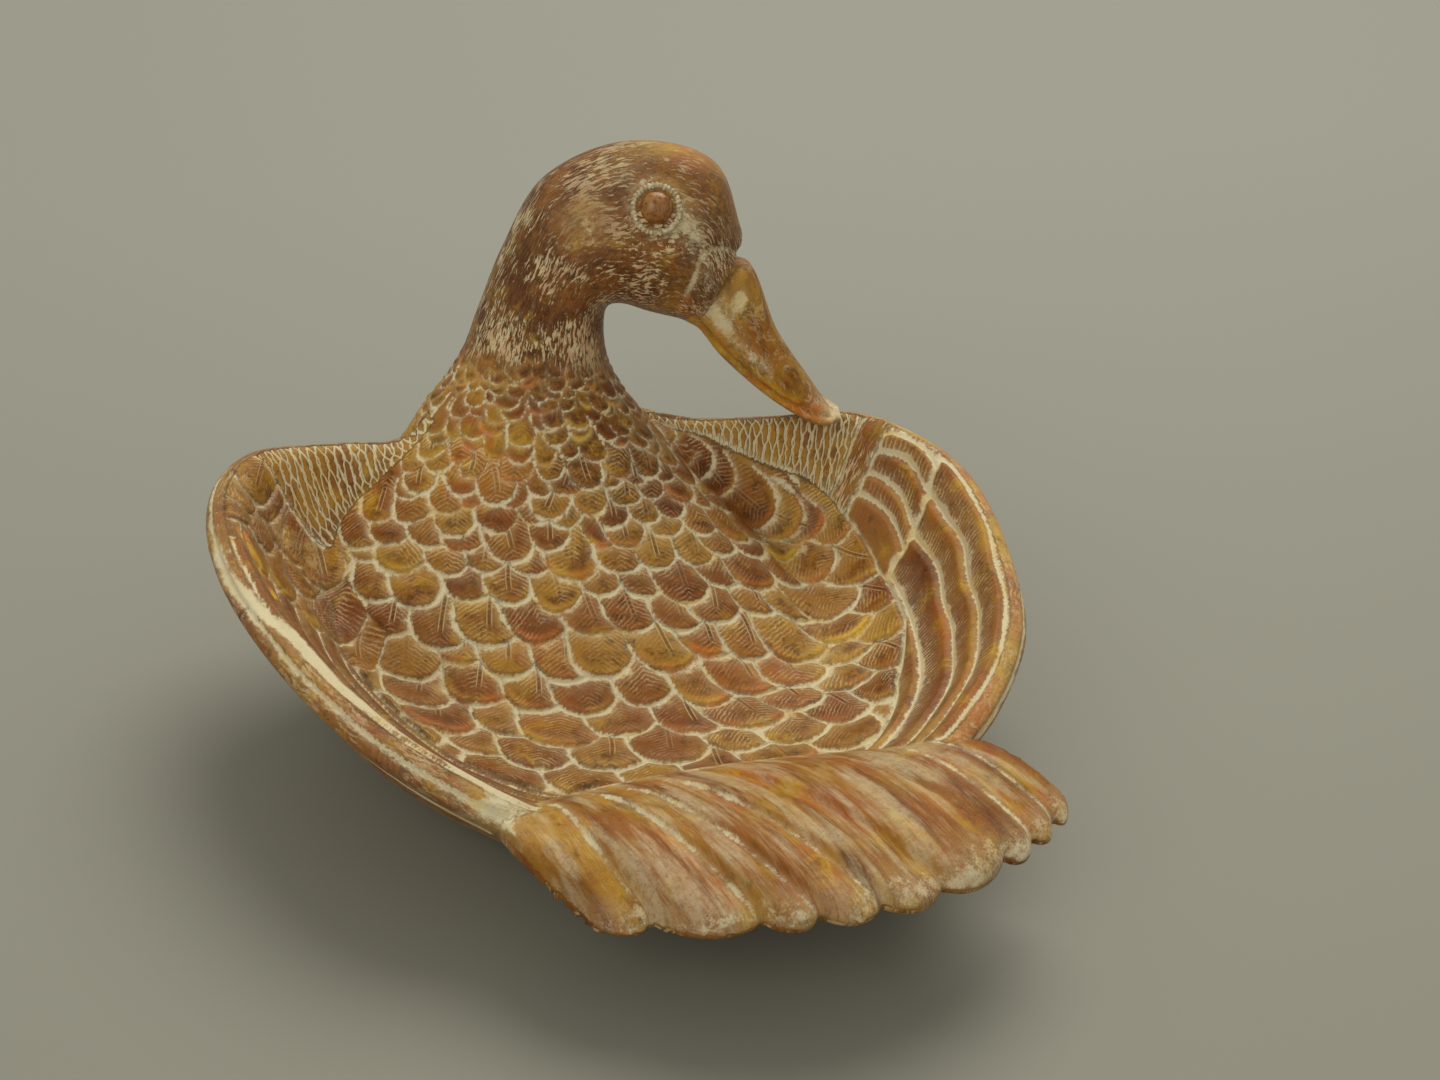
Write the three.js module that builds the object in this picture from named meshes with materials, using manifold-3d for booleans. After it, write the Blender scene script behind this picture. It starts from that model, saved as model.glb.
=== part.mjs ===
// Duck-shaped dish: a cast bowl with wings for its sides and a fanned tail, and a turned head.
// Millimetres, +Z up. The tail points to -Y, the breast to +Y, and the bill rests on the +X wing.
// The origin is on the surface that the dish stands on, below the middle of its outline.
import * as THREE from 'three';
import { mergeVertices } from 'three/addons/utils/BufferGeometryUtils.js';
import Module from 'manifold-3d';

const wasm = await Module();
wasm.setup();

// Driving dimensions of the dish
const wingHalfWidth = 102.5;
const wingWidestY = 34;
const shoulderHalfWidth = 85;
const shoulderY = 77;
const shoulderTwist = 5;
const breastRimY = 84;
const breastFrontY = 106;
const breastDip = 3;
const breastFlare = 2.5;
const shoulderBend = 1.5;
const wingRimFall = 4;
const notchHalfWidth = 57;
const notchY = -60;
const rootLipY = -54;
const shoulderHeight = 58;
const notchHeight = 38;
const rootHeight = 25;
const lipCornerRise = 2;
const rimRadius = 4.6;
const basinCentreY = 13;
const floorHeight = 18;
const wallSteepness = 5;
const frontSteepness = 3;
const baseShare = 0.5;
const outerWallPower = 1.6;

// Driving dimensions of the wing feathers
const innerFeatherRows = 5;
const outerFeatherRows = 4;
const featherStep = 1.5;
const featherFadeBack = 16;
const featherFadeFront = 18;

// Driving dimensions of the tail, with its feathers' edges as shares of its width at the root and the tips
const featherRootEdges = [0, 0.1, 0.18, 0.24, 0.33, 0.46, 0.68, 0.86, 0.95, 1];
const featherTipEdges = [0, 0.11, 0.29, 0.39, 0.51, 0.64, 0.8, 0.88, 0.95, 1];
const tailFeathers = featherRootEdges.length - 1;
const topFeather = 5;
const tailRootHalfWidth = 54;
const tailRootY = -40;
const tailRootCurve = 5;
const tailLength = 70;
const tailEdgeShortening = 25;
const tailLeftBulge = 4;
const tailSweep = 15;
const tailSpread = 61;
const tailThickness = 9;
const tailArch = 12;
const tailTipHeight = 31;
const tailLeftDrop = 11;
const tailRightDrop = 4;
const tailFeatherRise = 2.4;
const tailTipLobe = 5;
const tailRootRise = 2;

// Driving dimensions of the neck and head, in the upright plane that the neck and bill lie in
const neckFootX = 1.5;
const neckFootY = 85;
const neckFootAboveRim = 2;
const neckLean = THREE.MathUtils.degToRad(11);
const seamHeight = 12;
const seamBackReach = -28;
const seamThroatReach = 13;
const footSpread = 62;
const footFlare = 1.25;
const throatHeight = 29;
const crownHeight = 73;
const foreheadReach = 47;
const neckHalfWidth = 16;
const seamHalfWidth = 19;
const headHalfWidth = 18;
const billRootBelowCrown = 31;
const billHalfWidth = 10.6;
const billTipHalfWidth = 5.5;
const billTipOver = 1.3;
const restInset = 4;

// Driving dimensions of the small pieces
const dowelRadius = 5;
const dowelLength = 36;
const dowelClearance = 0.3;
const glueGap = 0.3;
const eyeRadius = 4.7;
const eyeStandOut = 1.7;
const eyeClearance = 0.3;
const eyeForward = 21;
const eyeBelowCrown = 14.2;
const lidRadius = 5.9;
const lidThickness = 0.9;
const lidSetIn = 1.4;
const lidTilt = THREE.MathUtils.degToRad(16);
const nostrilLength = 2.6;
const nostrilBack = 1;
const nostrilAboveThroat = 5;
const nostrilInset = 1.5;
const padRadius = 8;
const padThickness = 2;
const padSpreadX = 30;
const padSpreadBack = 18;
const padSpreadFront = 24;

// Fineness of the meshes
const rimSteps = 96;
const sectionSides = 24;
const neckRings = 36;
const billRings = 14;
const tailRows = 13;
const stepsPerTailFeather = 4;
const lastTailStep = 0.92;
const roundSides = 24;

// Materials, one for each finish
const paintedResin = new THREE.MeshStandardMaterial({ color: 0xa5713f, roughness: 0.55, metalness: 0 });
const paintedHead = new THREE.MeshStandardMaterial({ color: 0x9a6440, roughness: 0.5, metalness: 0 });
const eyeGloss = new THREE.MeshStandardMaterial({ color: 0x7a4526, roughness: 0.25, metalness: 0 });
const dowelWood = new THREE.MeshStandardMaterial({ color: 0xc9a878, roughness: 0.8, metalness: 0 });
const padFelt = new THREE.MeshStandardMaterial({ color: 0x3f3a34, roughness: 0.95, metalness: 0 });

const mix = THREE.MathUtils.lerp;
const smooth = THREE.MathUtils.smoothstep;

// Solids and meshes
function solidOf(geometry) {
  const bare = geometry.clone();
  bare.deleteAttribute('normal');
  bare.deleteAttribute('uv');
  const merged = mergeVertices(bare, 1e-4);
  const vertProperties = new Float32Array(merged.attributes.position.array);
  const triVerts = new Uint32Array(merged.index.array);
  return new wasm.Manifold(new wasm.Mesh({ numProp: 3, vertProperties, triVerts }));
}

function geometryOf(solid) {
  const mesh = solid.getMesh();
  const geometry = new THREE.BufferGeometry();
  geometry.setAttribute('position', new THREE.BufferAttribute(new Float32Array(mesh.vertProperties), 3));
  geometry.setIndex(new THREE.BufferAttribute(new Uint32Array(mesh.triVerts), 1));
  geometry.computeVertexNormals();
  return geometry;
}

function indexedGeometry(positions, indices) {
  const geometry = new THREE.BufferGeometry();
  geometry.setAttribute('position', new THREE.Float32BufferAttribute(positions, 3));
  geometry.setIndex(indices);
  return geometry;
}

// A closed skin over rings of equal length, which run anticlockwise seen against the way they advance
function skinOver(rings) {
  const sides = rings[0].length;
  const positions = rings.flat().flatMap((point) => [point.x, point.y, point.z]);
  const indices = [];
  for (let ring = 0; ring < rings.length - 1; ring += 1) {
    for (let side = 0; side < sides; side += 1) {
      const a = ring * sides + side;
      const b = ring * sides + (side + 1) % sides;
      indices.push(a, b, b + sides, a, b + sides, a + sides);
    }
  }
  const ends = [rings[0], rings[rings.length - 1]];
  for (const [number, ring] of ends.entries()) {
    const middle = ring.reduce((sum, point) => sum.add(point), new THREE.Vector3()).divideScalar(sides);
    const hub = positions.length / 3;
    positions.push(middle.x, middle.y, middle.z);
    const first = number === 0 ? 0 : (rings.length - 1) * sides;
    for (let side = 0; side < sides; side += 1) {
      const a = first + side;
      const b = first + (side + 1) % sides;
      if (number === 0) indices.push(b, a, hub);
      else indices.push(a, b, hub);
    }
  }
  return indexedGeometry(positions, indices);
}

// Rim of one wing, from the notch beside the tail over the widest place and the shoulder to the breast
function wingStations(side) {
  const twist = side * shoulderTwist;
  const backHeight = mix(notchHeight, shoulderHeight, 0.55);
  const sideHeight = shoulderHeight - breastDip / 3;
  const frontHeight = shoulderHeight - breastDip * 0.66;
  const bendX = mix(shoulderHalfWidth, wingHalfWidth, 0.62);
  const bendY = mix(wingWidestY, shoulderY, 0.7) - twist;
  const fallX = mix(notchHalfWidth, wingHalfWidth, 0.91);
  const fallY = mix(notchY, wingWidestY, 0.66);
  return [
    [side * notchHalfWidth, notchY, notchHeight],
    [side * mix(notchHalfWidth, wingHalfWidth, 0.6), mix(notchY, wingWidestY, 0.26), backHeight],
    [side * fallX, fallY, shoulderHeight - wingRimFall],
    [side * wingHalfWidth, mix(wingWidestY, shoulderY, 0.1), sideHeight],
    [side * bendX, bendY, shoulderHeight],
    [side * shoulderHalfWidth, shoulderY - twist, shoulderHeight],
    [side * shoulderHalfWidth * 0.72, breastRimY - shoulderBend - twist * 0.8, frontHeight],
    [side * shoulderHalfWidth * 0.46, breastRimY + breastFlare - twist * 0.4, shoulderHeight - breastDip],
  ];
}

// The whole rim runs anticlockwise seen from above, from the right notch over the wings and the breast
function rimStations() {
  const cheekY = mix(breastRimY, breastFrontY, 0.66);
  const breastHeight = shoulderHeight - breastDip;
  const lipCornerY = mix(notchY, rootLipY, 0.7);
  const lipCornerX = notchHalfWidth * 0.66;
  const breast = [
    [shoulderHalfWidth * 0.26, cheekY, breastHeight],
    [0, breastFrontY, breastHeight],
    [-shoulderHalfWidth * 0.26, cheekY, breastHeight],
  ];
  const lip = [
    [-lipCornerX, lipCornerY, rootHeight + lipCornerRise],
    [0, rootLipY, rootHeight],
    [lipCornerX, lipCornerY, rootHeight + lipCornerRise],
  ];
  return [...wingStations(1), ...breast, ...wingStations(-1).reverse(), ...lip];
}

const rimCurve = new THREE.CatmullRomCurve3(
  rimStations().map(([x, y, z]) => new THREE.Vector3(x, y, z)),
  true,
  'centripetal',
);

// How much a place on the rim belongs to the wing feathers: 1 along the wings, 0 at breast and tail
function wingShare(rim) {
  const fadeEnd = shoulderY - rimRadius;
  const behindShoulder = 1 - smooth(rim.y, fadeEnd - featherFadeFront, fadeEnd);
  const aheadOfNotch = smooth(rim.y, notchY, notchY + featherFadeBack);
  const aside = smooth(Math.abs(rim.x), notchHalfWidth * 0.8, notchHalfWidth);
  return behindShoulder * aheadOfNotch * aside;
}

// How much a place on the rim belongs to the breast and neck
function frontShare(rim) {
  return smooth(rim.y, shoulderY, mix(breastRimY, breastFrontY, 0.36));
}

// The outer wall's height at a share of the way from the base's edge out to the rim
function outerHeight(rim, share) {
  return mix(padThickness, rim.z - rimRadius, share ** outerWallPower);
}

// One upright section of the dish, from the middle of the floor over the rim to the middle of the base
function dishSection(rim) {
  const centre = new THREE.Vector3(0, basinCentreY, 0);
  const outward = new THREE.Vector3(rim.x, rim.y - basinCentreY, 0);
  const reach = outward.length();
  outward.normalize();
  const innerReach = reach - 2 * rimRadius;
  const wallTop = rim.z - rimRadius * 0.5;
  const power = mix(wallSteepness, frontSteepness, frontShare(rim));
  const step = featherStep * wingShare(rim);
  const points = [];
  const add = (distance, height) => {
    points.push(centre.clone().addScaledVector(outward, distance).setZ(height));
  };
  const innerHeight = (share) => mix(floorHeight, wallTop, share ** power);

  const floorShares = [0.12, 0.34, 0.52, 0.66, 0.76];
  floorShares.forEach((share) => add(innerReach * share, innerHeight(share)));
  const firstRowShare = 0.82;
  for (let row = 0; row < innerFeatherRows; row += 1) {
    const low = mix(firstRowShare, 1, row / innerFeatherRows);
    const high = mix(firstRowShare, 1, (row + 0.9) / innerFeatherRows);
    add(innerReach * low, innerHeight(low));
    add(innerReach * high - step * 0.8, innerHeight(high) + step * 0.6);
  }

  const crestReach = reach - rimRadius;
  for (const turn of [50, 90, 130, 170]) {
    const angle = THREE.MathUtils.degToRad(turn);
    add(crestReach - rimRadius * Math.cos(angle), rim.z - rimRadius + rimRadius * Math.sin(angle));
  }

  const baseReach = reach * baseShare;
  const lastRowShare = 2 / (outerFeatherRows + 2);
  for (let row = 0; row < outerFeatherRows; row += 1) {
    const high = mix(1, lastRowShare, row / outerFeatherRows);
    const low = mix(1, lastRowShare, (row + 0.85) / outerFeatherRows);
    add(mix(baseReach, reach, high) - step * 0.8, outerHeight(rim, high));
    add(mix(baseReach, reach, low) + step * 0.5, outerHeight(rim, low));
  }
  const footShare = lastRowShare / 2;
  add(mix(baseReach, reach, footShare), outerHeight(rim, footShare));
  add(baseReach, padThickness);
  return points;
}

function solidOverSections(sectionAt) {
  const sections = [];
  for (let step = 0; step < rimSteps; step += 1) {
    sections.push(sectionAt(rimCurve.getPoint(step / rimSteps)));
  }
  const rings = sections[0].map((_, number) => sections.map((section) => section[number]));
  return solidOf(skinOver(rings.reverse()));
}

// The room inside the outer wall, open upwards and outwards above the rim: it bounds the neck's foot
function roomSection(rim) {
  const skinDepth = 1;
  const headroom = crownHeight;
  const outward = new THREE.Vector3(rim.x, rim.y - basinCentreY, 0);
  const reach = outward.length() - skinDepth;
  outward.normalize();
  const baseReach = reach * baseShare;
  const corners = [
    [reach * 0.1, rim.z + headroom],
    [reach + headroom, rim.z + headroom],
    [reach, rim.z - rimRadius],
    [mix(baseReach, reach, 0.7), outerHeight(rim, 0.7)],
    [mix(baseReach, reach, 0.35), outerHeight(rim, 0.35)],
    [baseReach, padThickness + skinDepth],
  ];
  return corners.map(([distance, height]) => (
    new THREE.Vector3(outward.x * distance, basinCentreY + outward.y * distance, height)
  ));
}

// How much of a tail feather lies free at a share of its width: the broad one lies on both its neighbours
function freeShare(feather, within) {
  if (feather === topFeather) return 1;
  return feather < topFeather ? 1 - within : within;
}

// The tail is a fan of overlapping feathers. It arches from side to side and sweeps to +X.
function tailPoint(feather, within, along, top) {
  const rootShare = mix(featherRootEdges[feather], featherRootEdges[feather + 1], within);
  const tipShare = mix(featherTipEdges[feather], featherTipEdges[feather + 1], within);
  const side = mix(rootShare, tipShare, along) * 2 - 1;
  const edge = side * side;
  const rise = Math.sin(Math.PI * along);

  const lobe = tailTipLobe * (1 - Math.sin(Math.PI * within) ** 0.7);
  const rootY = tailRootY - tailRootCurve * edge;
  const tipY = tailRootY - tailLength + tailEdgeShortening * edge + tailSweep * 0.14 * side + lobe;
  const sweepLag = tailSweep * 0.16 * rise;
  const bulge = side < 0 ? tailLeftBulge * edge * edge * rise : 0;
  const fanned = mix(side * tailRootHalfWidth, side * tailSpread + tailSweep, along ** 1.15);
  const x = fanned - sweepLag - bulge;
  const y = mix(rootY, tipY, along);

  const crown = tailArch * Math.sin(Math.PI * Math.min(along * 0.86 + 0.02, 1));
  const drop = (side < 0 ? tailLeftDrop : tailRightDrop) * edge * mix(0.1, 1, along);
  const middleHeight = mix(rootHeight + tailRootRise, tailTipHeight, along) + crown - drop;
  const overlap = tailFeatherRise * freeShare(feather, within) * smooth(along, 0.02, 0.35);
  const thickness = tailThickness * mix(1.2, 0.6, along) * (1 - 0.45 * edge * edge);
  return new THREE.Vector3(x, y, top ? middleHeight + overlap : middleHeight - thickness);
}

// The last step of each feather stops short of the next feather's edge, which stands above or below it
function tailColumn(column) {
  const feather = Math.min(Math.floor(column / stepsPerTailFeather), tailFeathers - 1);
  const step = column - feather * stepsPerTailFeather;
  return [feather, Math.min(step / (stepsPerTailFeather - 1) * lastTailStep, 1)];
}

function tailSolid() {
  const columns = tailFeathers * stepsPerTailFeather;
  const width = columns + 1;
  const positions = [];
  for (const top of [false, true]) {
    for (let row = 0; row <= tailRows; row += 1) {
      for (let column = 0; column <= columns; column += 1) {
        const point = tailPoint(...tailColumn(column), row / tailRows, top);
        positions.push(point.x, point.y, point.z);
      }
    }
  }
  const under = (row, column) => row * width + column;
  const above = (row, column) => (tailRows + 1 + row) * width + column;
  const indices = [];
  const quad = (a, b, c, d) => indices.push(a, b, c, a, c, d);
  for (let row = 0; row < tailRows; row += 1) {
    const next = row + 1;
    for (let column = 0; column < columns; column += 1) {
      quad(above(row, column), above(next, column), above(next, column + 1), above(row, column + 1));
      quad(under(row, column), under(row, column + 1), under(next, column + 1), under(next, column));
    }
    quad(above(row, 0), under(row, 0), under(next, 0), above(next, 0));
    quad(above(next, columns), under(next, columns), under(row, columns), above(row, columns));
  }
  for (let column = 0; column < columns; column += 1) {
    const next = column + 1;
    quad(above(0, next), under(0, next), under(0, column), above(0, column));
    quad(above(tailRows, column), under(tailRows, column), under(tailRows, next), above(tailRows, next));
  }
  return solidOf(indexedGeometry(positions, indices));
}

// The plane of the neck and head: it stands over the neck's foot and turns to the wing that the bill rests on
const neckFoot = new THREE.Vector3(neckFootX, neckFootY, shoulderHeight + neckFootAboveRim);
const restPoint = new THREE.Vector3(
  shoulderHalfWidth - rimRadius - restInset,
  shoulderY - shoulderTwist - rimRadius - restInset / 4,
  shoulderHeight,
);
const forward = new THREE.Vector3().subVectors(restPoint, neckFoot).setZ(0).normalize();
const leanAway = new THREE.Vector3(-forward.y, forward.x, 0);
const upward = new THREE.Vector3(0, 0, Math.cos(neckLean)).addScaledVector(leanAway, Math.sin(neckLean));
const sideways = new THREE.Vector3().crossVectors(forward, upward).normalize();

function headPlace(reach, height, side = 0) {
  return neckFoot.clone()
    .addScaledVector(forward, reach)
    .addScaledVector(upward, height)
    .addScaledVector(sideways, side);
}

const eyeHeight = crownHeight - eyeBelowCrown;
const tipReach = new THREE.Vector3().subVectors(restPoint, neckFoot).dot(forward);
const tipHeight = restPoint.z - neckFoot.z + billTipOver;
const footDepth = seamHeight + neckFoot.z - floorHeight + padThickness;

// A station is the reach and height of the back, the same of the throat, the half width and its shift aside.
// The foot spreads down into the basin like a bell, but stays upright at the breast.
function footStation(share) {
  const spread = footSpread * share ** footFlare;
  const height = seamHeight - footDepth * share;
  return [
    seamBackReach - spread, height,
    seamThroatReach + spread, height,
    seamHalfWidth + spread / 2, spread / 2,
  ];
}

const neckStations = [
  ...[1, 0.8, 0.6, 0.4, 0.2, 0].map(footStation),
  [seamBackReach + 5, 27, 10.6, throatHeight - 4.5, neckHalfWidth, 0],
  [seamBackReach + 11, 44, 11.5, throatHeight + 0.5, neckHalfWidth, 0],
  [seamBackReach + 21, crownHeight - 10.5, 15, throatHeight + 1, headHalfWidth - 1, 0],
  [foreheadReach - 31.6, crownHeight, 22, throatHeight - 1, headHalfWidth, 0],
  [foreheadReach - 9, crownHeight - 4.5, 30, throatHeight - 2.7, headHalfWidth - 1, 0],
  [foreheadReach - 0.5, crownHeight - 23, 34, throatHeight - 3.5, headHalfWidth - 5, 0],
];

// The bill runs down from the forehead, thins in the middle and widens again to its rounded tip
const billRootHeight = crownHeight - billRootBelowCrown;

function billTop(share) {
  return [mix(foreheadReach, tipReach, share), mix(billRootHeight, tipHeight, 1 - 0.93 * (1 - share) ** 1.1)];
}

const billStations = [
  [foreheadReach - 7, billRootHeight - 1, 31, throatHeight - 3, billHalfWidth, 0],
  [foreheadReach + 1, billRootHeight + 0.5, 35, throatHeight - 4.5, billHalfWidth, 0],
  [...billTop(0.36), 42.5, throatHeight - 12.5, billHalfWidth - 0.6, 0],
  [...billTop(0.7), 57, throatHeight - 24, billHalfWidth, 0],
  [...billTop(0.9), tipReach - 9, tipHeight - 0.4, billHalfWidth - 1, 0],
  [tipReach + 0.4, tipHeight + 2.2, tipReach - 2.6, tipHeight - 1.2, billTipHalfWidth, 0],
];

// An oval ring through a station. Below the seam the rings settle from the leaning plane to level.
function sectionRing([backReach, backHeight, frontReach, frontHeight, halfWidth, shift], fullness) {
  const middleReach = (backReach + frontReach) / 2;
  const middleHeight = (backHeight + frontHeight) / 2;
  const levelling = 1 - smooth(middleHeight, seamHeight - footDepth / 2, seamHeight);
  const ring = [];
  for (let side = 0; side < sectionSides; side += 1) {
    const angle = 2 * Math.PI * side / sectionSides;
    const cosine = Math.cos(angle);
    const sine = Math.sin(angle);
    const inPlane = Math.sign(cosine) * Math.abs(cosine) ** fullness;
    const aside = shift + halfWidth * Math.sign(sine) * Math.abs(sine) ** fullness;
    const place = headPlace(
      middleReach + (backReach - middleReach) * inPlane,
      middleHeight + (backHeight - middleHeight) * inPlane,
      aside,
    );
    place.z -= levelling * sideways.z * aside;
    ring.push(place);
  }
  return ring;
}

function spacedStations(stations, count) {
  const backs = new THREE.CatmullRomCurve3(stations.map((s) => new THREE.Vector3(s[0], s[1], s[4])));
  const throats = new THREE.CatmullRomCurve3(stations.map((s) => new THREE.Vector3(s[2], s[3], s[5])));
  const result = [];
  for (let step = 0; step <= count; step += 1) {
    const back = backs.getPoint(step / count);
    const throat = throats.getPoint(step / count);
    result.push([back.x, back.y, throat.x, throat.y, back.z, throat.z]);
  }
  return result;
}

function loft(stations, count, fullness) {
  return solidOf(skinOver(spacedStations(stations, count).map((station) => sectionRing(station, fullness))));
}

// A thick block on one side of the seam's plane
function seamBlock(above, gap) {
  const size = 4 * wingHalfWidth;
  const block = new THREE.BoxGeometry(size, size, size);
  const turn = new THREE.Matrix4().makeBasis(forward, upward.clone().cross(forward).normalize(), upward);
  block.applyMatrix4(turn);
  const middle = headPlace(0, above ? seamHeight + gap + size / 2 : seamHeight - size / 2);
  block.translate(middle.x, middle.y, middle.z);
  return solidOf(block);
}

function dowelGeometry(clearance) {
  const radius = dowelRadius + clearance;
  const dowel = new THREE.CylinderGeometry(radius, radius, dowelLength + 2 * clearance, roundSides);
  dowel.rotateX(Math.PI / 2);
  dowel.applyQuaternion(new THREE.Quaternion().setFromUnitVectors(new THREE.Vector3(0, 0, 1), upward));
  const middle = headPlace((seamBackReach + seamThroatReach) / 2, seamHeight);
  dowel.translate(middle.x, middle.y, middle.z);
  return dowel;
}

function eyeGeometry(side, clearance) {
  const bead = new THREE.SphereGeometry(eyeRadius + clearance, 20, 14);
  const middle = headPlace(eyeForward, eyeHeight, side * (headHalfWidth + eyeStandOut - eyeRadius));
  bead.translate(middle.x, middle.y, middle.z);
  return bead;
}

function lidSolid(side) {
  const ring = new THREE.TorusGeometry(lidRadius, lidThickness, 6, roundSides);
  const facing = upward.clone().multiplyScalar(Math.sin(lidTilt));
  facing.addScaledVector(sideways, side * Math.cos(lidTilt));
  ring.applyMatrix4(new THREE.Matrix4().makeBasis(forward, facing.clone().cross(forward), facing));
  const middle = headPlace(eyeForward, eyeHeight, side * (headHalfWidth - lidSetIn));
  ring.translate(middle.x, middle.y, middle.z);
  return solidOf(ring);
}

function nostrilSolid(side) {
  const pit = new THREE.SphereGeometry(nostrilLength, 10, 8);
  pit.scale(0.5, 0.5, 1);
  const middle = headPlace(
    foreheadReach - nostrilBack,
    throatHeight + nostrilAboveThroat,
    side * (billHalfWidth - nostrilInset),
  );
  pit.translate(middle.x, middle.y, middle.z);
  return solidOf(pit);
}

const ovalFullness = 0.94;
const squarerFullness = 0.86;
const fullNeck = loft(neckStations, neckRings, ovalFullness);

function bowlGeometry() {
  const foot = fullNeck.intersect(seamBlock(false, 0)).intersect(solidOverSections(roomSection));
  const body = solidOverSections(dishSection).add(tailSolid()).add(foot);
  return geometryOf(body.subtract(solidOf(dowelGeometry(dowelClearance))));
}

function headGeometry() {
  const bill = loft(billStations, billRings, squarerFullness);
  let head = fullNeck.intersect(seamBlock(true, glueGap)).add(bill);
  for (const side of [1, -1]) {
    head = head.add(lidSolid(side));
    head = head.subtract(solidOf(eyeGeometry(side, eyeClearance)));
    head = head.subtract(nostrilSolid(side));
  }
  return geometryOf(head.subtract(solidOf(dowelGeometry(dowelClearance))));
}

function namedMesh(name, geometry, material) {
  const mesh = new THREE.Mesh(geometry, material);
  mesh.name = name;
  return mesh;
}

function feltPad(name, x, y) {
  const geometry = new THREE.CylinderGeometry(padRadius, padRadius, padThickness, roundSides);
  geometry.rotateX(Math.PI / 2);
  const pad = namedMesh(name, geometry, padFelt);
  pad.position.set(x, y, padThickness / 2);
  return pad;
}

const duckDish = new THREE.Group();
duckDish.add(namedMesh('bowl', bowlGeometry(), paintedResin));
duckDish.add(namedMesh('head_and_neck', headGeometry(), paintedHead));
duckDish.add(namedMesh('neck_dowel', dowelGeometry(0), dowelWood));
duckDish.add(namedMesh('right_eye', eyeGeometry(1, 0), eyeGloss));
duckDish.add(namedMesh('left_eye', eyeGeometry(-1, 0), eyeGloss));
for (const [wing, side] of [['right', 1], ['left', -1]]) {
  duckDish.add(feltPad('felt_pad_tail_' + wing, side * padSpreadX, basinCentreY - padSpreadBack));
  duckDish.add(feltPad('felt_pad_breast_' + wing, side * padSpreadX, basinCentreY + padSpreadFront));
}

export default duckDish;
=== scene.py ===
import math

import bpy
import numpy as np
from mathutils import Matrix, Vector
from mathutils.bvhtree import BVHTree
from mathutils.kdtree import KDTree


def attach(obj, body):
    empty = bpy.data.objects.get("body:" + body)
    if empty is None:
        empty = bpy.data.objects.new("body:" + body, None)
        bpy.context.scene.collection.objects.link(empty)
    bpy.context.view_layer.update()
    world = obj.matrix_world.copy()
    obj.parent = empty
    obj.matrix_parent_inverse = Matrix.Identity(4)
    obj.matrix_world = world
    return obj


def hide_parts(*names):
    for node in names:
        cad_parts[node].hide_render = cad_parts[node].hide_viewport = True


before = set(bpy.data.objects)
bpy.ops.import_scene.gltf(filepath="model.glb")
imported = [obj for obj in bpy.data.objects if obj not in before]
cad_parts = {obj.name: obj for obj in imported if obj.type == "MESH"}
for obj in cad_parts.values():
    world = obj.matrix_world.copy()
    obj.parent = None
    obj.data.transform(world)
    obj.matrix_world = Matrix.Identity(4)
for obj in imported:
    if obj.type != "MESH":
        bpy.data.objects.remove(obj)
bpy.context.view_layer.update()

# The object's lengths are millimetres in the frame of the solids. Its meshes are made in metres.
METRE = 0.001

# The dish, with the same values as the solids
WING_HALF_WIDTH = 102.5
WING_WIDEST_Y = 34
SHOULDER_HALF_WIDTH = 85
SHOULDER_Y = 77
SHOULDER_TWIST = 5
BREAST_RIM_Y = 84
BREAST_FRONT_Y = 106
BREAST_DIP = 3
NOTCH_HALF_WIDTH = 57
NOTCH_Y = -60
ROOT_LIP_Y = -54
SHOULDER_HEIGHT = 58
NOTCH_HEIGHT = 38
ROOT_HEIGHT = 25
RIM_RADIUS = 4.6
BASIN_CENTRE_Y = 13
FLOOR_HEIGHT = 18
WALL_STEEPNESS = 5
FRONT_STEEPNESS = 3
BASE_SHARE = 0.5
OUTER_WALL_POWER = 1.6
PAD_THICKNESS = 2

# The tail, with the same values as the solids but for a lower rise of its feathers
TAIL_FEATHERS = 9
TAIL_TOP_FEATHER = 5
TAIL_TIP_START = 0.94
TAIL_EDGES_ROOT = np.array([0, 0.10, 0.18, 0.24, 0.33, 0.46, 0.68, 0.86, 0.95, 1])
TAIL_EDGES_TIP = np.array([0, 0.11, 0.29, 0.39, 0.51, 0.64, 0.80, 0.88, 0.95, 1])
TAIL_ROOT_HALF_WIDTH = 54
TAIL_ROOT_Y = -40
TAIL_ROOT_CURVE = 5
TAIL_LENGTH = 70
TAIL_EDGE_SHORTENING = 25
TAIL_LEFT_BULGE = 4
TAIL_SWEEP = 15
TAIL_SPREAD = 61
TAIL_THICKNESS = 9
TAIL_ARCH = 12
TAIL_TIP_HEIGHT = 31
TAIL_LEFT_DROP = 11
TAIL_RIGHT_DROP = 4
TAIL_FEATHER_RISE = 1.8
TAIL_FAN_POWER = 1.15
TAIL_TIP_LOBE = 5

# The neck and head, with the same values as the solids
NECK_FOOT = np.array([1.5, 85.0, 60.0])
NECK_LEAN = math.radians(11)
SEAM_HEIGHT = 12
SEAM_BACK_REACH = -28
SEAM_THROAT_REACH = 13
FOOT_SPREAD = 62
FOOT_FLARE = 1.25
THROAT_HEIGHT = 29
CROWN_HEIGHT = 73
FOREHEAD_REACH = 47
NECK_HALF_WIDTH = 16
SEAM_HALF_WIDTH = 19
HEAD_HALF_WIDTH = 18
BILL_ROOT_HEIGHT = 42
BILL_HALF_WIDTH = 10.6
BILL_TIP_HALF_WIDTH = 5.5
BILL_TIP_OVER = 1.3
REST_INSET = 4
EYE_RADIUS = 4.7
EYE_FORWARD = 21
EYE_HEIGHT = 58.8
EYE_ASIDE = 15
LID_RADIUS = 5.9
LID_THICKNESS = 0.9
LID_ASIDE = 16.6
LID_TILT = math.radians(16)


def mix(a, b, share):
    return a + (b - a) * share


def smooth(value, low, high):
    share = np.clip((value - low) / (high - low), 0, 1)
    return share * share * (3 - 2 * share)


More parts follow.
